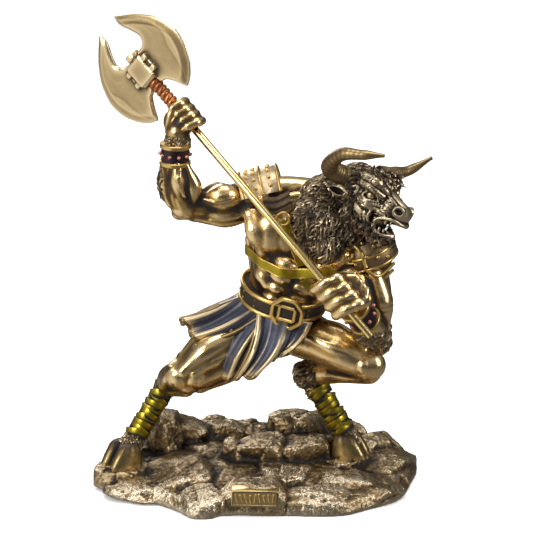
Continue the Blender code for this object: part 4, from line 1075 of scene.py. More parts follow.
polygon_frame(buckle, BUCKLE + BUCKLE_OUT * 0.9, 9.0, 8, math.pi / 8, (1.15, 1.3))
polygon_frame(buckle, BUCKLE + BUCKLE_OUT * 1.0, 5.8, 4, math.pi / 4, (1.0, 1.1), 0.9)
ball(buckle_plate, BUCKLE - BUCKLE_OUT * 0.6, (8.0, 1.6, 8.0), WAIST_SIDE, WAIST_UP)
belt_piece = shape("belt", belt)
rim_piece = shape("belt_rims", belt_rims, 60)
stud_piece = shape("belt_studs", belt_studs, 60)
buckle_piece = shape("buckle", buckle, 30)
plate_piece = shape("buckle_plate", buckle_plate, 60)

# %% [markdown]
# The loincloth is heavy wool, carved in deep pleats that spring from the belt. Each flap is a sheet
# between two curves. Its pleats are a wave along the sheet that grows towards the hem, pinched so that
# the ridges are sharp.

# %% Loincloth
CLOTH_THICKNESS = 1.7


def flap(clay, hems, top, hem, bulge, folds, depth, phase=0.0, out=FRONT, columns=74, rows=40):
    """Between two curves: a straight blend, a bulge of half a sine and folds that grow to the hem."""
    upper, lower = curve(top, columns), curve(hem, columns)
    u = np.linspace(0, 1, columns)[None, :]
    v = np.linspace(0, 1, rows)[:, None]
    angle = 2 * np.pi * (folds * (u + 0.07 * np.sin(6 * u + phase) - 0.05 * v) + phase)
    wave = np.sin(angle) + 0.40 * np.sin(2.1 * angle + 1.7 + v) + 0.12 * np.sin(5.3 * angle + 3 * v)
    grow = 0.30 + 0.70 * np.sin(np.pi * v / 2)
    grid = upper[None] * (1 - v[..., None]) + lower[None] * v[..., None]
    grid = grid + bulge * np.sin(np.pi * v)[..., None]
    grid = grid + out * (depth * wave * grow)[..., None]
    down = unit(lower - upper)[None]
    grid = grid + down * (1.3 * v**5 * np.sin(angle * 0.9 + 1))[..., None]
    crest = np.clip(wave - 0.75, 0, 0.5) * (0.5 + 0.5 * v) * 1.6
    depth = 0.30 - crest - 1.0 * v**7 - 0.6 * np.abs(2 * u - 1) ** 30
    sheet(clay, grid, CLOTH_THICKNESS, depth=depth)
    border = np.vstack([grid[rows // 3:, 0], grid[-1, 1:-1], grid[rows // 3:, -1][::-1]])
    carry(hems, ROUND * 1.4, border, np.broadcast_to(out, border.shape))


cloth, hems = Clay(), Clay()
flap(cloth, hems, [(-10, 6, 111), (-6, -7, 108.5), (3, -15.5, 104.5)],
     [(-43, 3, 97), (-38, -8, 92), (-31, -15, 88.5)], vec(1, -2, -1.5), 1.9, 1.9, 0.1,
     unit((-0.2, -0.7, 0.6)))
flap(cloth, hems, [(-5, -8, 107), (2, -14, 104), (9, -17, 102)],
     [(-24, -14, 73), (-18, -19, 69.5), (-10, -20, 72)], vec(-3, -4, 0), 1.6, 1.8, 0.4)
flap(cloth, hems, [(0, -17, 107), (16, -21, 103), (31, -18, 101)],
     [(-12, -24, 71), (-2, -28, 73.5), (11, -25, 84)], vec(3, -4, 0), 2.3, 2.1, 0.2)
flap(cloth, hems, [(-8, 12, 112), (12, 20, 109), (34, 12, 105)],
     [(-34, 18, 82), (-8, 28, 69), (22, 26, 74)], vec(0, 5, 0), 3.2, 2.0, 0.0, -FRONT)
flap(cloth, hems, [(-10, 0, 110), (-9, 8, 111), (-4, 16, 110)],
     [(-42, 0, 95), (-40, 9, 92), (-33, 19, 84)], vec(-1, 2, 0), 1.7, 1.5, 0.0, unit((-0.6, 0.4, 0.6)))
loincloth = shape("loincloth", cloth, 60, grain=0.35)
hem_piece = shape("loincloth_hem", hems, 60)

# %% [markdown]
# Each shoulder guard is three overlapping plates with raised ribs and round rivets, bent over the
# shoulder.

# %% Shoulder guards
GUARD_AXIS = unit((0.97, 0, 0.24))
GUARD_MIDDLE = vec(0, 1, 168.5)
GUARD_OVER = np.cross(FRONT, GUARD_AXIS)
guards, guard_ribs, rivets = Clay(), Clay(), Clay()


def guard_point(along, radius, angle):
    """A point over the right shoulder: along its axis and at an angle round it."""
    return (GUARD_MIDDLE + GUARD_AXIS * along + FRONT * (0.95 * radius * math.cos(angle))
            + GUARD_OVER * (radius * math.sin(angle)))


def guard_arc(along, radius, start=17, end=204, count=60):
    """Points of a half hoop over the shoulder, and their out directions."""
    a = np.radians(np.linspace(start, end, count))[:, None]
    out = FRONT * 0.95 * np.cos(a) + GUARD_OVER * np.sin(a)
    return GUARD_MIDDLE + GUARD_AXIS * along + out * radius, out


plates = ((-7.5, 15.0), (-5.5, 15.4), (3.2, 16.2), (4.8, 16.9), (5.6, 15.4), (10, 15.8),
          (14.4, 15.6), (15.4, 15.0))
grid = np.array([guard_arc(along, radius)[0] for along, radius in plates])
sheet(guards, grid, 1.5, depth=-0.6)
for along, radius in ((-6.6, 16.6), (4.7, 17.5), (14.8, 16.6)):
    arc, out = guard_arc(along, radius - 0.6)
    carry(guard_ribs, ROUND * (0.75, 1.5), arc, out)
for along, radius in ((-2.6, 16.3), (1.4, 16.6), (9.9, 16.6)):
    for angle in range(24, 200, 19):
        a = math.radians(angle + (along > 0) * 8)
        ball(rivets, guard_point(along, radius, a), (1.3, 1.3, 1.3), columns=14, rows=9)
lip_path = curve([(5.4, -16.8, 163.6), (12, -19, 164.6), (19, -19, 168)], 20)
carry(guard_ribs, ROUND * (0.9, 1.1), lip_path, np.broadcast_to(FRONT, lip_path.shape))
flap_top = curve([(4.0, -14.4, 173), (11, -16.6, 173.5), (18.2, -15.6, 177)], 20)
v = np.linspace(0, 1, 14)[:, None, None]
lower_flap = flap_top[None] * (1 - v) + lip_path[None] * v
crease = 0.6 * np.sin(np.linspace(0, 5 * np.pi, 14))[:, None, None]
sheet(guards, lower_flap + FRONT * (1.6 * np.sin(np.pi * v) + crease), 1.3,
      depth=0.5 - 0.5 * crease[..., 0])
print("right guard:", guards.count, "points")

# %% [markdown]
# The left guard is a round cap with two lames under it, seen at its edge in the photograph. Lames are
# bands of a sphere, each a little larger at its lower edge, so that one laps over the next.

# %% Left guard and rivets
DOME = vec(63.5, -9, 140)
DOME_X, DOME_Z = unit((0.75, -0.62, 0.2)), unit((-0.35, -0.1, 0.95))
ball(guards, DOME, (14.0, 13.6, 14), DOME_X, DOME_Z, 48, 32)
DOME_Y = np.cross(DOME_Z, DOME_X)
for low, high, radius in ((-16, 14, 15.0), (10, 38, 14.7)):
    a = np.radians(np.linspace(-115, 115, 60))[None, :, None]
    b = np.radians(np.linspace(high, low, 12))[:, None, None]
    d = (DOME_X * np.cos(a) + DOME_Y * np.sin(a)) * np.cos(b) + DOME_Z * np.sin(b)
    sheet(guards, DOME + d * (radius + 0.6 * np.clip((high - np.degrees(b)) / (high - low), 0, 1)), 1.0)
    edge = (DOME + d * (radius + 0.7))[-1]
    carry(guard_ribs, ROUND * 0.85, edge, unit(edge - DOME))
for points in (((51.5, -20.5, 149), (57.5, -23.6, 144), (61, -24.2, 135)),
               ((60, -22.8, 133.8), (68, -22.8, 129.8), (77.4, -12, 134.2)),
               ((60, -21.4, 130.2), (68.5, -21.4, 126.4), (76.9, -11, 130))):
    rib = curve(points, 24)
    carry(guard_ribs, ROUND * 1.05, rib, unit(rib - DOME))
for degrees, lift in ((20, 4), (45, 4), (70, 4), (95, 4), (32, 26), (58, 26), (84, 26), (110, 26),
                      (50, 50), (90, 54), (130, 40)):
    a, b = math.radians(degrees - 75), math.radians(lift)
    d = unit(vec(math.sin(a) * math.cos(b) + 0.35, -math.cos(a) * math.cos(b), math.sin(b)))
    ball(rivets, DOME + d * 16.0, (1.3, 1.3, 1.3), columns=14, rows=9)
row_top, row_end = vec(49.3, -21.4, 149.4), vec(56.8, -25.0, 132.4)
for step in range(5):
    ball(rivets, row_top + (row_end - row_top) * step / 4, (0.9, 0.9, 0.9), columns=14, rows=9)
guard_piece = shape("shoulder_guards", guards, 40)
rib_piece = shape("guard_ribs", guard_ribs, 60)
rivet_piece = shape("guard_rivets", rivets, 60)

# %% [markdown]
# A bracer is a dark leather cuff between two gold rims, with ten copper studs round it. Both are one
# function that takes the ends of the cuff.

# %% Bracers
bands, band_rims, copper_rivets = Clay(), Clay(), Clay()


def bracer(low, high, radius, side):
    """A studded leather cuff between two gold rims."""
    axis = unit(high - low)
    middle = (low + high) / 2
    half = np.linalg.norm(high - low) / 2
    path, out = oval(middle, axis, side, radius, radius, 60)
    carry(bands, ((-half, -4), (half, -4), (half, 0), (0, 0.3), (-half, 0)), path, out, closed=True)
    for end in (low, high):
        path, out = oval(end, axis, side, radius + 0.3, radius + 0.3, 60)
        carry(band_rims, ((-1.3, -3), (1.3, -3), (1.3, 0.4), (0.9, 0.8), (-0.9, 0.8), (-1.3, 0.4)),
              path, out, closed=True)
    places, out = oval(middle, axis, side, radius + 0.4, radius + 0.4, 10, 0.3)
    for place, direction in zip(places, out):
        ball(copper_rivets, place, (1.15, 1.15, 1.5), axis, direction, 14, 9)


bracer(vec(-45.6, -8, 191.5), vec(-45.2, -9, 201.5), 7.7, FRONT)
bracer(L_WRIST, vec(60.5, -30, 106), 8.3, FRONT)
band_piece = shape("bracers", bands, 40)
band_rim_piece = shape("bracer_rims", band_rims, 40)
copper_piece = shape("bracer_rivets", copper_rivets, 60)

# %% [markdown]
# The shins are bound with flat cloth strips. A strip is a band that leans one way and then the other,
# each turn lying over the edge of the last.

# %% Leg wraps
wraps = Clay()
SHINGLE = np.array(((-2.6, -2.6), (2.6, -2.6), (2.6, 0), (1.6, 0.2), (0.7, 0.5), (-0.8, 0.85),
                    (-2.2, 1.1), (-2.6, 0.5)))
# Painted shade on each strip's section: dark underneath, on its thin edge and on the outer face of its
# raised edge, light on top of the raised edge.
SHINGLE_SHADE = (1.6, 1.6, 1.6, 1.4, 0.25, 0.0, -0.4, 1.4)
SHINS = ((R_HOCK * 0.92 + R_FETLOCK * 0.08, R_FETLOCK, 5.9),
         (L_HOCK * 0.74 + L_FETLOCK * 0.26, L_FETLOCK, 6.5))
for top, bottom, radius in SHINS:
    shin = unit(bottom - top)
    for turn in range(10):
        t = turn / 9
        lean = 0.34 * math.sin(turn * 2.2)
        slant = unit(shin + vec(lean, -0.16 + 0.1 * math.cos(turn * 1.7), lean * 0.3))
        r = radius * (1.02 - 0.08 * math.sin(math.pi * t))
        path, out = oval(top + (bottom - top) * t, slant, FRONT, r + 0.3 * (turn % 2), r, 48)
        wobble = 1 + 0.10 * np.sin(np.linspace(0, 6 * np.pi, 48, endpoint=False) + turn)[:, None, None]
        carry(wraps, SHINGLE[None] * wobble, path, out, closed=True, depth=np.tile(SHINGLE_SHADE, 48))
wrap_piece = shape("leg_wraps", wraps, 50)

# %% [markdown]
# A cloven hoof is two toes. A toe is a stack of rounded outlines, longest in front at the ground, and
# its inner side gets painted shade, so that the cleft between the toes comes out dark.

# %% Hooves
hooves = Clay()
TOES_APART = 4.9
TOE_RINGS = ((0, -8.3, 12.3, 4.9), (0.6, -8.6, 12.6, 5.15), (3, -8.4, 11.6, 5.1),
             (6, -8.0, 10.0, 4.95), (9, -7.6, 8.0, 4.7),
             (12, -7.0, 6.2, 4.3), (13.6, -5.6, 4.4, 3.2))


def toe(clay, ankle, forward, side):
    """A toe of a cloven hoof: rounded outlines, longer in front at the ground, stacked up to the crown."""
    across = np.cross(forward, UP)
    a = np.linspace(0, 2 * np.pi, 32, endpoint=False)
    rows, dark = [], []
    inner = -side * np.sin(a)
    for height, heel, tip, half in TOE_RINGS:
        c, s = np.cos(a), np.sin(a)
        long = (tip + heel) / 2 + (tip - heel) / 2 * np.sign(c) * np.abs(c) ** 0.8
        wide = half * np.sign(s) * np.abs(s) ** 0.75 * (1 - 0.18 * np.clip(c, 0, 1))
        wide = wide * (1 + 0.035 * np.sin(13 * a))
        middle = ankle + across * TOES_APART * side + UP * height
        rows.append(middle + forward * long[:, None] + across * wide[:, None])
        streak = 0.26 * np.sin(13 * a) + 0.9 * (height / 13.6) ** 3 - 0.5 * (height < 1.0)
        # Painted shade on the inner side darkens the cleft; streaks, a darker crown and a lighter ground
        # edge go with it.
        dark.append(2.8 * np.clip(inner - 0.4, 0, 0.5) - 0.3 + streak)
    clay.rings(np.array(rows), depth=np.array(dark))


for ankle, forward_axis in ((R_HOOF, R_TOE), (L_HOOF, L_TOE)):
    for s in (-1, 1):
        toe(hooves, ankle, forward_axis, s)
hoof_piece = shape("hooves", hooves, 50)

# %% [markdown]
# Short fur also grows on the elbows and forearms, at the wrists, on the hocks and in a band above each
# hoof. The roots are skin points within a reach of a line, and the locks lie along that line.

# %% Fur on the limbs
ANY = (-999, 999)
LIMB_FUR = (
    (0, L_ELBOW, (64, -22, 98), 13.5, (-0.1, 0.1, -1), 4.4, 0.7, 11, 1.7, (55, 76.5), (-999, 101)),
    (0, (-50, -6, 172), (-50, -7, 188), 9, (-0.4, 0, -1), 3.8, 0.5, 13, 2.0, (-999, -52.6), ANY),
    (0, (-44.5, -9, 203.8), (-44, -9, 205.5), 8.2, (0, 0, -1), 3.0, 0.55, 15, 1.4, ANY, (202, 208)),
    (1, R_HOCK, R_HOCK + 1, 9.2, (-0.5, 0.6, -0.8), 5.0, 0.75, 17, 1.7, ANY, ANY),
    (1, L_HOCK, L_HOCK + 1, 11.0, (-0.6, 0.3, -0.8), 5.4, 0.78, 19, 1.7, ANY, ANY),
    (1, R_FETLOCK, (-77, -4, 20), 9, (-0.4, -0.2, -1), 4.0, 0.7, 21, 1.3, ANY, (21, 30)),
    (1, L_FETLOCK, (53, 2, 23), 9.5, (0.2, -0.2, -1), 4.0, 0.7, 23, 1.3, ANY, (24, 31)))
limb_fur = Clay()
locks = 0
for body, start, end, reach, lie, length, radius, seed, cell, x_range, z_range in LIMB_FUR:
    points, normals, _ = read(BODY_PIECES[body].data)
    line = vec(*end) - vec(*start)
    t = np.clip(((points - vec(*start)) @ line) / (line @ line), 0, 1)[:, None]
    near = np.linalg.norm(points - vec(*start) - line * t, axis=1) < reach
    for axis, (low, high) in ((0, x_range), (2, z_range)):
        near &= (points[:, axis] > low) & (points[:, axis] < high)
    # The limb locks get lighter painted shade at their roots than the mane.
    locks += grow(limb_fur, (points, normals), near, cell, seed, lie, length, radius,
                  lift=0.8, curl=0.7, dark=0.4)
limb_fur_piece = shape("limb_fur", limb_fur, 60)
print("locks on the limbs:", locks)

# %% [markdown]
# The axe is cast apart and is smoother than the figure. A blade is a grid between its cutting edge and
# its inner edge. Its thickness is a function of the distance from each edge, which gives the ground
# bevel and the ridge that runs out along the horns.

# %% Axe head
BLADE_TURN = math.radians(30)
BLADE_REACH = 35.0
BLADE_SIDE = OVER_SHAFT * math.cos(BLADE_TURN) + OUT_SHAFT * math.sin(BLADE_TURN)
BLADE_OUT = np.cross(BLADE_SIDE, DOWN_SHAFT)
SOCKET = R_GRIP - DOWN_SHAFT * 34.0
EDGE = ((-0.935, 0.25), (-0.69, 0.6), (-0.43, 0.85), (-0.2, 0.96), (-0.04, 1), (0.14, 0.98),
        (0.3, 0.92), (0.49, 0.79),
        (0.63, 0.63), (0.71, 0.46))
INNER = ((-0.92, 0.235), (-0.77, 0.225), (-0.56, 0.33), (-0.4, 0.385), (-0.28, 0.31),
         (-0.2, 0.1), (0.28, 0.1),
         (0.38, 0.24), (0.53, 0.36), (0.70, 0.45))


def axe(along, across):
    """A point in the axe's frame, from the middle of its socket."""
    return SOCKET + DOWN_SHAFT * along + BLADE_SIDE * across


def blade(clay, s, along_count=150, across_count=40):
    """Between edge and inner curve. Half thickness: a slope behind each edge, capped by the plate's own."""
    outer = curve([(a, b, 0) for a, b in EDGE], along_count) * BLADE_REACH
    inner = curve([(a, b, 0) for a, b in INNER], along_count) * BLADE_REACH
    v = np.linspace(0, 1, across_count)[None, :]
    flat = outer[:, None] * (1 - v[..., None]) + inner[:, None] * v[..., None]
    width = np.linalg.norm(outer - inner, axis=1)[:, None]
    u = np.linspace(0, 1, along_count)[:, None]
    ground = 0.25 + 0.75 * np.clip(v * width / 6.0, 0, 1)
    back = np.interp(u, (0, 0.12, 0.3, 0.42, 0.7, 0.85, 1), (2.4, 2.6, 2.2, 0.6, 0.6, 1.2, 1.6))
    blunt = 0.42 + 0.58 * np.clip((1 - v) * width / back, 0, 1)
    half = 1.8 * np.minimum(ground, blunt)
    half = half * (1 - 0.10 * np.clip(np.abs(v - 0.62) * 2.2, 0, 1) * (v > 0.3))
    place = SOCKET + flat[..., :1] * DOWN_SHAFT + flat[..., 1:2] * s * BLADE_SIDE
    front, rear = place + BLADE_OUT * half[..., None], place - BLADE_OUT * half[..., None]
    rings = np.concatenate([front, rear[:, ::-1]], axis=1)
    clay.rings(rings)


print("each blade reaches", BLADE_REACH, "mm from the shaft")

# %% [markdown]
# A square block holds the blades, with two lugs on each side and a turned knob on top. Blocks have cut
# corners, because a cast has no sharp ones. The ground bevel behind the cutting edge gets painted shade:
# the hollow number is raised within a few millimetres of the edge, more on one blade than the other.

# %% Blocks and turned forms
def brick(clay, centre, x, y, z, half, bevel):
    """A block: a rectangle with cut corners carried along z, drawn in by the bevel at both ends."""
    w, d, h = half
    corner = [(w - bevel, -d), (w, -d + bevel), (w, d - bevel), (w - bevel, d),
              (-w + bevel, d), (-w, d - bevel),
              (-w, -d + bevel), (-w + bevel, -d)]
    corner = np.array(corner)
    small = corner - np.sign(corner) * bevel
    rows = [(small, -h), (corner, -h + bevel), (corner, h - bevel), (small, h)]
    clay.rings(np.array([centre + np.outer(c[:, 0], x) + np.outer(c[:, 1], y) + z * level for c,
                         level in rows]))


def turned(clay, start, axis, stations, sides=40, ripple=None):
    """A profile of (length, radius) turned round an axis, with an optional ripple of the radius."""
    across = square(UP, axis)
    other = np.cross(axis, across)
    a = np.linspace(0, 2 * np.pi, sides, endpoint=False)[None, :]
    length = np.array([s for s, _ in stations])[:, None]
    radius = np.array([r for _, r in stations])[:, None] + 0 * a
    if ripple:
        radius = radius + ripple(length, a)
    ring = across * np.cos(a)[..., None] + other * np.sin(a)[..., None]
    clay.rings(start + length[..., None] * axis + ring * radius[..., None])


print("a block has 8 sides and two bevelled ends")

# %% Socket and cast
axe_clay = Clay()
for s in (-1, 1):
    blade(axe_clay, s)
SOCKET_HALF = (6.5, 4.8, 7.0)
BEVEL_WIDTH = 5.6
brick(axe_clay, SOCKET, BLADE_SIDE, BLADE_OUT, DOWN_SHAFT, SOCKET_HALF, 0.55)
brick(axe_clay, SOCKET + DOWN_SHAFT * 7.2, BLADE_SIDE, BLADE_OUT, DOWN_SHAFT, (5.6, 4.0, 0.9), 0.3)
for s in (-1, 1):
    brick(axe_clay, axe(0, 8.1 * s), BLADE_SIDE, BLADE_OUT, DOWN_SHAFT, (1.3, 3.0, 5.4), 0.3)
    for along in (-3.8, 3.8):
        brick(axe_clay, axe(along, 8.3 * s), BLADE_SIDE, BLADE_OUT, DOWN_SHAFT, (1.75, 4.2, 1.7), 0.35)
turned(axe_clay, axe(-7, 0), -DOWN_SHAFT, ((-1, 3.3), (0.9, 3.3), (1.0, 4.0), (1.3, 4.2), (4.2, 4.2),
                                           (4.6, 3.8), (4.65, 2.6)),
       48, lambda length, a: 0.09 * np.cos(12 * a) * (length > 1.1))
axe_piece = cast("axe_head", axe_clay, 0.54, smooth=1, grain=0.06)
points, normals, edges = read(axe_piece.data)
along, across = (points - SOCKET) @ DOWN_SHAFT, (points - SOCKET) @ BLADE_SIDE
edge_line = curve([(a, b, 0) for a, b in EDGE], 160)[:, :2] * BLADE_REACH
flat = np.stack((along, np.abs(across)), -1)
to_edge = np.sqrt(((flat[:, None] - edge_line[None]) ** 2).sum(-1).min(1))
hollow = 0.8 * hollows(points, normals, edges, 0.06)
# Painted shade on the ground bevel, stronger on one blade than on the other.
hollow += np.clip((BEVEL_WIDTH - to_edge) / 0.8, 0, 1) * np.where(across > 0, 1.15, 0.3) * (to_edge > 0.7)
set_hollow(axe_piece, hollow)

# %% [markdown]
# Copper wire is wound round the neck. Its coils are a ripple of the radius that climbs as it turns. The
# shaft is a plain rod with round ends and one groove near its foot.

# %% Axe neck and shaft
WRAP_PITCH = 2.9
wrap_clay = Clay()
wrap_stations = [(s, 2.7) for s in np.linspace(0, 18.4, 140)]
turned(wrap_clay, axe(7.4, 0), DOWN_SHAFT, wrap_stations, 40,
       lambda length, a: 0.95 * np.abs(np.sin(np.pi * (length / WRAP_PITCH - a / (2 * np.pi)))) ** 0.55
       + 0.10 * np.sin(3 * a + length))
neck_piece = shape("axe_neck_binding", wrap_clay, 60)
shaft_clay = Clay()
SHAFT_RADIUS = 2.2
shaft_length = float(np.dot(L_GRIP + DOWN_SHAFT * 27.8 - axe(3.5, 0), DOWN_SHAFT))
shaft_profile = [(0, 2.0), (0.3, SHAFT_RADIUS)]
for before_end, radius in ((6.3, SHAFT_RADIUS), (6.2, 2.0), (5.8, 2.0), (5.7, SHAFT_RADIUS),
                           (0.3, SHAFT_RADIUS), (0, 1.9)):
    shaft_profile.append((shaft_length - before_end, radius))
turned(shaft_clay, axe(3.5, 0), DOWN_SHAFT, shaft_profile, 48)
shaft_piece = shape("axe_shaft", shaft_clay, 40)
print("shaft length", round(shaft_length, 1), "mm")

# %% [markdown]
# The base is a thin plinth heaped with broken stones. A stone is a ball of directions cut by random
# planes: in each direction its skin is the nearest plane. The heap is cast as one, then chipped and
# pitted by a relief, and its underside stays flat.

# %% Stones and chips
FOREMOST = -58.5


def stone(clay, centre, semi, seed, top=None, planes=12):
    """The least, over random planes, of plane distance over the direction's part along its normal."""
    pick = np.random.default_rng(seed)
    normal = unit(pick.normal(size=(planes, 3)))
    normal[:4] = unit(UP + pick.normal(0, (0.16, 0.16, 0), (4, 3)))
    away = pick.uniform(0.70, 0.98, planes)
    away[:4] = pick.uniform(0.62, 0.84, 4)
    a = np.linspace(0, 2 * np.pi, 72, endpoint=False)[None, :]
    b = np.radians(np.linspace(-88, 88, 44))[:, None]
    d = np.stack([np.cos(b) * np.cos(a), np.cos(b) * np.sin(a), np.sin(b) + 0 * a], -1)
    reach = np.minimum((away / np.maximum(d @ normal.T, 0.06)).min(-1), 1.30)
    points = centre + d * reach[..., None] * semi * 1.08
    points[..., 2] = np.clip(points[..., 2], 1.5, top or 100)
    points[..., 1] = np.maximum(points[..., 1], FOREMOST)
    clay.rings(points)


def waves(points, length, seed, count=26):
    """A smooth random field: the mean of plane waves in random directions, about one wavelength apart."""
    pick = np.random.default_rng(seed)
    direction = unit(pick.normal(size=(count, 3))) * (2 * np.pi / length)
    direction = direction * pick.uniform(0.6, 1.6, (count, 1))
    return np.sin(points @ direction.T + pick.uniform(0, 2 * np.pi, count)).sum(-1) / (count / 2) ** 0.5


def chips(points, cell, seed):
    """Broken facets: a random seed in each cell of a grid, and a point takes its nearest seed's plane."""
    pick = np.random.default_rng(seed)
    table = pick.uniform(-0.5, 0.5, (4096, 7))
    home = np.floor(points / cell).astype(int)
    best = np.full(len(points), 1e9)
    plane = np.zeros(len(points))
    for step in np.ndindex(3, 3, 3):
        place = home + np.array(step) - 1
        row = table[(place @ np.array((73, 179, 283))) % 4096]
        away = points / cell - (place + 0.5 + row[:, :3] * 0.8)
        gap = (away**2).sum(-1)
        nearer = gap < best
        best = np.where(nearer, gap, best)
        plane = np.where(nearer, row[:, 3] + (away * row[:, 4:]).sum(-1) * 2.0, plane)
    return np.clip(plane, -1, 1)


BASE_HALF = (95.0, 62.0)
OUTLINE = ((-1, 0.04), (-0.94, -0.29), (-0.78, -0.62), (-0.61, -0.67), (-0.47, -0.85),
           (-0.38, -1), (-0.27, -1),
           (-0.19, -0.93), (0.1, -0.93), (0.48, -0.94), (0.66, -0.8), (0.86, -0.57),
           (0.95, -0.18), (1, 0.12),
           (0.96, 0.41), (0.82, 0.68), (0.58, 0.86), (0.26, 0.96), (-0.1, 1), (-0.47, 0.9),
           (-0.77, 0.7), (-0.95, 0.4))
STONES = (((-31, -48, 4), (14, 14, 10)), ((-66, -28, 3), (16, 12, 6.5)), ((-40, -14, 7), (22, 18, 11)),
          ((0, -46, 7), (17, 12, 10)), ((0.5, -1, 16), (13, 12, 12)), ((-14, 1, 14), (9, 9, 10.5)),
          ((26, -2, 16), (12.5, 12, 11.5)), ((29, 20, 21), (12, 10, 17)), ((19, 24, 18), (10, 10, 16)),
          ((-21, 31, 13), (11.5, 11, 15)), ((3, 28, 13), (14, 11, 14)), ((-45, 31, 14), (14, 11, 15)),
          ((-53, 21, 20), (9.5, 9, 19)), ((47, -28, 6), (17, 16, 10)), ((77, 6, 5), (15, 17, 11)),
          ((19, -24, 9), (14, 11, 9)), ((66, -34, 4), (14, 12, 7)), ((34, -46, 5), (17, 9, 9)),
          ((68, 20, 8), (10, 9, 11)), ((45, 38, 7), (16, 12, 13)), ((-70, 27, 7), (14, 14, 9)),
          ((0, 45, 6), (22, 11, 11)), ((-36, 47, 5), (18, 9, 10)), ((75, 30, 5), (11, 11, 9)),
          ((-27, 10, 9), (15, 12, 10)), ((12, 9, 12), (14, 12, 10)), ((41, 18, 12), (12, 11, 13)))


def plinth(clay):
    """The outline as a closed curve, stacked from the ground to the slab's top and drawn in there."""
    ring = curve([(x, y, 0) for x, y in (*OUTLINE, OUTLINE[0])], 221)[:-1] * (*BASE_HALF, 1)
    rows = [ring * (share, share, 1) + UP * height
            for share, height in ((0.5, 0), (0.985, 0), (1, 1.2), (0.995, 3.5), (0.97, 7.2),
                                  (0.93, 8.5), (0.5, 8.5))]
    clay.rings(np.array(rows))


def rock_relief(points):
    """Chips over two sizes of facet, pits and a fine grain, fading out at the flat underside."""
    fade = np.clip((points[:, 2] - 0.8) / 2.5, 0, 1)
    relief = 0.95 * chips(points, 16.0, 5) + 0.38 * chips(points, 6.0, 6) + 0.06 * waves(points, 11, 7)
    relief = relief + 0.07 * waves(points, 2.8, 8) - 0.25 * np.clip(waves(points, 6.0, 9) - 1.2, 0, 1.5)
    return relief * fade


print(len(STONES), "stones on a base of", BASE_HALF[0] * 2, "by", BASE_HALF[1] * 2, "mm")

# %% [markdown]
# Flat stones stand under both hooves, and a broad low heap ties all of them together. A few front faces
# get painted highlights, lighter in patches.

# %% Cast the base
rocks = Clay()
plinth(rocks)
for seed, (centre, semi) in enumerate(STONES):
    stone(rocks, vec(*centre), vec(*semi), seed + 1)
stone(rocks, vec(2, 0, 3), vec(80, 50, 15), 99, planes=70)
stone(rocks, vec(-1, -47, 7), vec(23, 15.5, 14), 60, top=17.5, planes=40)
stone(rocks, vec(-78, -6, 5), vec(15, 15, 12), 61, top=R_HOOF[2] + 0.6)
stone(rocks, vec(54, 1, 8), vec(14.5, 13, 14), 62, top=L_HOOF[2] + 0.6)
rock_piece = cast("rocks", rocks, 0.98, smooth=1, grain=0.4, relief=rock_relief)
points, normals, edges = read(rock_piece.data)
points[:, 2] = np.where(points[:, 2] < 0.7, 0, points[:, 2])
points = np.clip(points, (-95, -62, 0), (95, 62, 60))
move_points(rock_piece.data, points)
PAINTED_HIGHLIGHTS = (((-33, -50, 12), 16), ((46, -30, 13), 16), ((-66, -36, 8), 14), ((17, -30, 15), 10),
          ((35, -48, 10), 12))
hollow = np.clip(hollows(points, read(rock_piece.data)[1], edges, 0.4), -0.55, 1.5)
# Painted highlights in patches on a few front faces.
for centre, radius in PAINTED_HIGHLIGHTS:
    near = np.clip(1.4 - np.linalg.norm(points - centre, axis=1) / radius, 0, 1)
    hollow = hollow - near * (0.9 + 0.55 * waves(points, 3.0, 11))
set_hollow(rock_piece, hollow)

# %% [markdown]
# The tablet on the front carries an inscription on the real cast. Here it has a row of raised strokes
# that lean this way and that and spell nothing.

# %% Tablet
TABLET = vec(-1, -58.6, 11.5)
TABLET_TURN = math.radians(1.5)
TABLET_X = vec(math.cos(TABLET_TURN), 0, -math.sin(TABLET_TURN))
TABLET_Z = np.cross(FRONT, TABLET_X)
plate, marks = Clay(), Clay()
brick(plate, TABLET - FRONT * 3.4, TABLET_X, FRONT, TABLET_Z, (13.25, 5.0, 4.9), 0.5)
rim = [TABLET + TABLET_X * x + TABLET_Z * z + FRONT * 1.5 for x, z in
       ((-12.6, -3.9), (-12.2, -4.3), (12.2, -4.3), (12.6, -3.9), (12.6, 3.9), (12.2, 4.3),
        (-12.2, 4.3), (-12.6, 3.9))]
carry(plate, ROUND * 0.55, np.array(rim), np.broadcast_to(FRONT, (8, 3)), closed=True)
pick = np.random.default_rng(3)
for stroke in range(9):
    middle = TABLET + TABLET_X * (stroke - 4) * 2.55 + FRONT * 1.5 + TABLET_Z * pick.uniform(-0.4, 0.4)
    slope = pick.uniform(-0.6, 0.6)
    along = unit(TABLET_Z + TABLET_X * slope)
    reach = pick.uniform(1.7, 2.6)
    tube(marks, [middle - along * reach, middle, middle + along * reach], [0.62, 0.7, 0.62], sides=10)
tablet_piece = shape("tablet", plate, 40, grain=0.35)
mark_piece = shape("tablet_strokes", marks, 60)

# %% [markdown]
# The patina is one idea with many tints. A cast bronze is darkened all over and then rubbed, so its
# ridges shine and its hollows stay dark and dull. The hollow number of each point goes through a colour
# ramp: crest, metal, shade and grime. Noise at two scales breaks it up, and roughness follows the same
# number. Node by node such a graph fills pages, so each graph is written as a table of rows here.

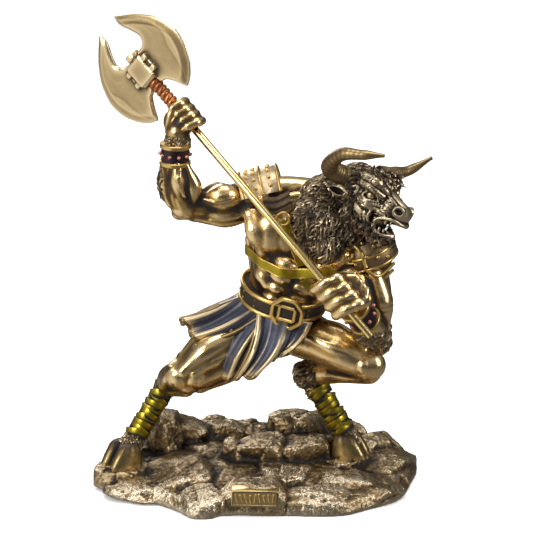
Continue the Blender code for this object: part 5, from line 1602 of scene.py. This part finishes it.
# %% Node tables
def build_nodes(tree, rows):
    """Nodes from rows of name, kind, settings and inputs. An input is a value, or a text of node.output."""
    made = {node.name: node for node in tree.nodes}
    for name, kind, settings, inputs in rows:
        if kind:
            made[name] = tree.nodes.new("ShaderNode" + kind)
        for key, value in settings.items():
            setattr(made[name], key, value)
        for key, value in inputs.items():
            if isinstance(value, str):
                source, output = value.split(".")
                tree.links.new(made[source].outputs[output], made[name].inputs[key])
            else:
                made[name].inputs[key].default_value = value
    return made


def set_ramp(ramp, stops):
    """Gives a colour ramp its stops. It has two from the start, and they take the first and the last."""
    elements = ramp.color_ramp.elements
    for index in (0, -1):
        elements[index].position = stops[index][0]
        elements[index].color = (*stops[index][1], 1)
    for position, colour in stops[1:-1]:
        elements.new(position).color = (*colour, 1)


# %% Patina
MULTIPLY_ADD = {"operation": "MULTIPLY_ADD"}


def patina(name, crest, metal, shade, grime, gloss=0.28, dull=0.62, spread=1.0, shift=0.0, grain=900.0,
           bump=0.12, mottle=0.18, metallic_part=1.0, dent_depth=0.0004, swell=0.0):
    """Level = half the hollow * spread + 0.5 + shift + two noises, read off a ramp from ridge to hollow."""
    material = bpy.data.materials.new(name)
    material.use_nodes = True
    rows = [
        ("place", "TexCoord", {}, {}),
        ("hollow", "Attribute", {"attribute_name": "hollow"}, {}),
        ("coarse", "TexNoise", {}, {"Vector": "place.Object", "Scale": 130.0, "Detail": 4.0}),
        ("fine", "TexNoise", {}, {"Vector": "place.Object", "Scale": grain, "Detail": 5.0}),
        ("deep", "Math", MULTIPLY_ADD, {0: "hollow.Fac", 1: 0.5 * spread, 2: 0.5 + shift}),
        ("blotch", "Math", MULTIPLY_ADD, {0: "coarse.Fac", 1: mottle * 2, 2: -mottle}),
        ("speck", "Math", MULTIPLY_ADD, {0: "fine.Fac", 1: mottle * 0.8, 2: -mottle * 0.4}),
        ("worn", "Math", {"operation": "ADD"}, {0: "deep.Value", 1: "blotch.Value"}),
        ("level", "Math", {"operation": "ADD", "use_clamp": True}, {0: "worn.Value", 1: "speck.Value"}),
        ("colours", "ValToRGB", {}, {"Fac": "level.Value"}),
        ("rough", "MapRange", {}, {"Value": "level.Value", "From Min": 0.3, "From Max": 0.85,
                                   "To Min": gloss, "To Max": dull}),
        ("metallic", "MapRange", {}, {"Value": "level.Value", "From Min": 0.55, "From Max": 0.95,
                                      "To Min": metallic_part, "To Max": 0.55 * metallic_part}),
        ("dent", "Bump", {}, {"Strength": bump, "Distance": dent_depth, "Height": "fine.Fac"}),
        ("Principled BSDF", "", {}, {"Base Color": "colours.Color", "Roughness": "rough.Result",
                                     "Metallic": "metallic.Result", "Normal": "dent.Normal"})]
    if swell:
        rows += [("bulge", "Bump", {}, {"Strength": swell, "Distance": 0.0012, "Height": "coarse.Fac"}),
                 ("dent", "", {}, {"Normal": "bulge.Normal"})]
    nodes = build_nodes(material.node_tree, rows)
    set_ramp(nodes["colours"], ((0.12, crest), (0.42, metal), (0.66, shade), (0.92, grime)))
    return material


def dress(material, slot, node, *pieces):
    """Gives pieces their finish and hides the solid they replace. The slot is not used."""
    for obj in pieces:
        obj.data.materials.clear()
        obj.data.materials.append(material)
        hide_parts(node)
    print(material.name, "on", len(pieces), "pieces")


# %% [markdown]
# Skin, hide, horn and fur share one warm bronze. The skin is the brightest and smoothest. The hide and
# the fur are browner and keep more dirt, because their hollows are small and close together.

# %% Bronze of the figure
BRONZE = patina("antique_bronze", (0.80, 0.58, 0.29), (0.48, 0.31, 0.105), (0.12, 0.066, 0.022),
                (0.016, 0.011, 0.008), gloss=0.26, dull=0.55, spread=0.85, swell=0.35)
HIDE = patina("hide_bronze", (0.50, 0.40, 0.255), (0.235, 0.172, 0.104), (0.075, 0.056, 0.038),
              (0.014, 0.011, 0.009), gloss=0.36, bump=0.25, mottle=0.24)
HORN = patina("horn_bronze", (0.60, 0.45, 0.25), (0.34, 0.24, 0.11), (0.13, 0.086, 0.04),
              (0.03, 0.02, 0.012), gloss=0.24)
FUR = patina("fur_bronze", (0.70, 0.56, 0.36), (0.235, 0.175, 0.108), (0.068, 0.05, 0.034),
             (0.010, 0.008, 0.007), gloss=0.3)
HOOF = patina("worn_hoof", (0.66, 0.51, 0.27), (0.35, 0.26, 0.105), (0.11, 0.07, 0.035),
              (0.02, 0.014, 0.01), swell=0.4)
dress(BRONZE, "figure", "minotaur", *BODY_PIECES)
dress(HIDE, "figure", "minotaur", bull_head)
dress(HORN, "figure", "minotaur", horns)
dress(FUR, "figure", "minotaur", mane_fur, limb_fur_piece)
dress(HOOF, "figure", "minotaur", hoof_piece)

# %% [markdown]
# The dress is tinted over the bronze: gold on rims and rivets, olive on straps and leg wraps, near
# black on the belt, slate blue in the cloth's folds and dark plum on the cuffs. Rubbed crests show
# metal through every tint.

# %% Tinted dress
GOLD = patina("rubbed_gold_trim", (0.95, 0.72, 0.30), (0.80, 0.55, 0.18), (0.38, 0.24, 0.07),
              (0.06, 0.04, 0.02), gloss=0.2, dull=0.5)
OLIVE = patina("olive_gold_leather", (0.86, 0.66, 0.14), (0.50, 0.37, 0.028), (0.14, 0.11, 0.013),
               (0.014, 0.012, 0.006))
GUNMETAL = patina("dark_belt_leather", (0.24, 0.175, 0.10), (0.042, 0.03, 0.019), (0.024, 0.018, 0.013),
                  (0.012, 0.01, 0.009), shift=0.16, gloss=0.5, swell=0.4, metallic_part=0.6)
SLATE = patina("slate_blue_cloth", (0.60, 0.46, 0.25), (0.105, 0.102, 0.115), (0.042, 0.045, 0.066),
               (0.008, 0.008, 0.014), gloss=0.34, spread=0.75, shift=0.06, metallic_part=0.8)
PLATE = patina("worn_guard_plate", (0.66, 0.52, 0.33), (0.27, 0.19, 0.10), (0.095, 0.063, 0.035),
               (0.02, 0.015, 0.011), gloss=0.42, dull=0.68, bump=0.3, mottle=0.34, shift=0.04, swell=0.6)
PLUM = patina("dark_cuff_leather", (0.22, 0.15, 0.15), (0.07, 0.045, 0.05), (0.04, 0.025, 0.03),
              (0.012, 0.01, 0.01))
HEM = patina("brassy_hem", (0.66, 0.50, 0.26), (0.36, 0.25, 0.11), (0.13, 0.09, 0.04), (0.03, 0.02, 0.012))
COPPER = patina("pink_copper", (0.95, 0.60, 0.50), (0.75, 0.36, 0.27),
                (0.35, 0.14, 0.09), (0.08, 0.03, 0.02))
dress(GOLD, "figure", "minotaur", strap_edge_piece, ring_pieces, rim_piece, buckle_piece, rib_piece,
      rivet_piece, band_rim_piece)
dress(OLIVE, "figure", "minotaur", strap_piece, wrap_piece)
dress(GUNMETAL, "figure", "minotaur", belt_piece, plate_piece)
dress(SLATE, "figure", "minotaur", loincloth)
dress(PLATE, "figure", "minotaur", guard_piece)
dress(PLUM, "figure", "minotaur", band_piece)
dress(HEM, "figure", "minotaur", stud_piece, hem_piece)
dress(COPPER, "figure", "minotaur", copper_piece)

# %% [markdown]
# The axe is the brightest metal: satin brass on the blades, red copper wire on the neck and a polished
# rod. The stones are the roughest, with the deepest dents and the most grime.

# %% Axe, stone and tablet
SATIN = patina("satin_pale_brass", (0.86, 0.68, 0.40), (0.62, 0.46, 0.24), (0.24, 0.17, 0.08),
               (0.06, 0.045, 0.025), gloss=0.32, dull=0.5, spread=0.6, mottle=0.07, bump=0.04)
WIRE = patina("copper_binding", (0.85, 0.42, 0.22), (0.62, 0.25, 0.10), (0.26, 0.09, 0.035),
              (0.06, 0.02, 0.01), gloss=0.3)
POLISHED = patina("polished_gold_shaft", (0.90, 0.72, 0.36), (0.80, 0.60, 0.24), (0.62, 0.44, 0.15),
                  (0.2, 0.13, 0.05), gloss=0.17, dull=0.25, mottle=0.02, bump=0.01)
STONE = patina("bronze_stone", (0.57, 0.475, 0.335), (0.29, 0.197, 0.092), (0.11, 0.073, 0.036),
               (0.016, 0.012, 0.009), gloss=0.27, dull=0.52, bump=0.9, mottle=0.2, grain=560, spread=0.9,
               shift=0.05, metallic_part=0.95, dent_depth=0.0009)
TABLET_METAL = patina("tablet_bronze", (0.70, 0.52, 0.24), (0.15, 0.105, 0.05), (0.07, 0.048, 0.025),
                      (0.015, 0.012, 0.008))
dress(SATIN, "axe_head", "axe_head", axe_piece)
dress(WIRE, "axe_head", "axe_head", neck_piece)
dress(POLISHED, "shaft", "axe_shaft", shaft_piece)
dress(STONE, "base", "rock_base", rock_piece)
dress(TABLET_METAL, "base", "rock_base", tablet_piece)
dress(GOLD, "base", "rock_base", mark_piece)

# %% [markdown]
# The photograph is a studio shot on white. Metal shows its surroundings, so the light comes from large
# soft panels with darkness between them: those give the long bright streaks and the deep browns of the
# real cast.

# %% Floor and light
AIM = (0, 0, 0.13)


def panel(name, place, size, power):
    """A soft rectangle of light that faces the figure."""
    light = bpy.data.lights.new(name, "AREA")
    light.shape = "RECTANGLE"
    light.size, light.size_y = size
    light.energy = power
    obj = bpy.data.objects.new(name, light)
    obj.location = place
    obj.rotation_euler = (Vector(AIM) - Vector(place)).to_track_quat("-Z", "Y").to_euler()
    bpy.context.scene.collection.objects.link(obj)


panel("left_panel", (-0.75, -0.75, 0.62), (0.5, 0.7), 7.6)
panel("right_panel", (0.9, -0.5, 0.55), (0.35, 0.7), 6)
panel("top_panel", (0, -0.1, 1.1), (0.7, 0.5), 5.5)
panel("back_panel", (-0.4, 0.9, 0.6), (0.6, 0.5), 4)

FLOOR_HALF = 3000
FLOOR_HEIGHT = -0.3
corners = [(x * FLOOR_HALF, y * FLOOR_HALF, FLOOR_HEIGHT) for x, y in ((-1, -1), (1, -1), (1, 1), (-1, 1))]
floor = bpy.data.objects.new("floor", new_mesh("floor", corners, [np.array([[0, 1, 2, 3]])]))
bpy.context.scene.collection.objects.link(floor)
paper = bpy.data.materials.new("white_paper")
paper.use_nodes = True
build_nodes(paper.node_tree, [("Principled BSDF", "", {},
                               {"Base Color": (0.98, 0.98, 0.98, 1), "Roughness": 0.8})])
floor.data.materials.append(paper)
floor.visible_glossy = False
print("4 panels and a floor of", FLOOR_HALF * 2 * MM, "m")

# %% [markdown]
# What the camera sees of the surroundings is plain white, but what the metal mirrors is another
# picture: pale above, nearly black at the height of the figure and grey below, as in a studio with dark
# walls. One soft glow stands where the blades mirror it, because they are the only large flat metal.

# %% Surroundings
sight = unit(SOCKET - vec(*CAMERA_PLACE))
FRONT_GLOW = sight - 2 * np.dot(sight, BLADE_OUT) * BLADE_OUT
print("the blades mirror what lies towards", FRONT_GLOW.round(2))
world = bpy.data.worlds.new("studio")
world.use_nodes = True
bpy.context.scene.world = world
surroundings = build_nodes(world.node_tree, (
    ("Background", "", {}, {"Color": (1, 1, 1, 1), "Strength": 1.05}),
    ("around", "TexCoord", {}, {}),
    ("apart", "SeparateXYZ", {}, {0: "around.Generated"}),
    ("height", "Math", MULTIPLY_ADD, {0: "apart.Z", 1: 0.5, 2: 0.5}),
    ("bands", "ValToRGB", {}, {"Fac": "height.Value"}),
    ("toward", "VectorMath", {"operation": "DOT_PRODUCT"}, {0: "around.Generated", 1: FRONT_GLOW}),
    ("glow", "MapRange", {"interpolation_type": "SMOOTHSTEP"},
     {"Value": "toward.Value", "From Min": 0.55, "From Max": 0.97, "To Max": 0.7}),
    ("both", "VectorMath", {}, {0: "bands.Color", 1: "glow.Result"}),
    ("mirrored", "Background", {}, {"Color": "both.Vector", "Strength": 1.0}),
    ("ray", "LightPath", {}, {}),
    ("mix", "MixShader", {}, {"Fac": "ray.Is Glossy Ray", 1: "Background.Background",
                              2: "mirrored.Background"}),
    ("World Output", "", {}, {"Surface": "mix.Shader"})))
greys = [(position, (level, level, level * 1.04))
         for position, level in ((0.30, 0.20), (0.47, 0.035), (0.60, 0.05), (0.78, 0.26))]
set_ramp(surroundings["bands"], ((0.0, (0.30, 0.29, 0.27)), *greys, (1.0, (0.45, 0.46, 0.48))))

bpy.context.scene.view_settings.view_transform = "Standard"
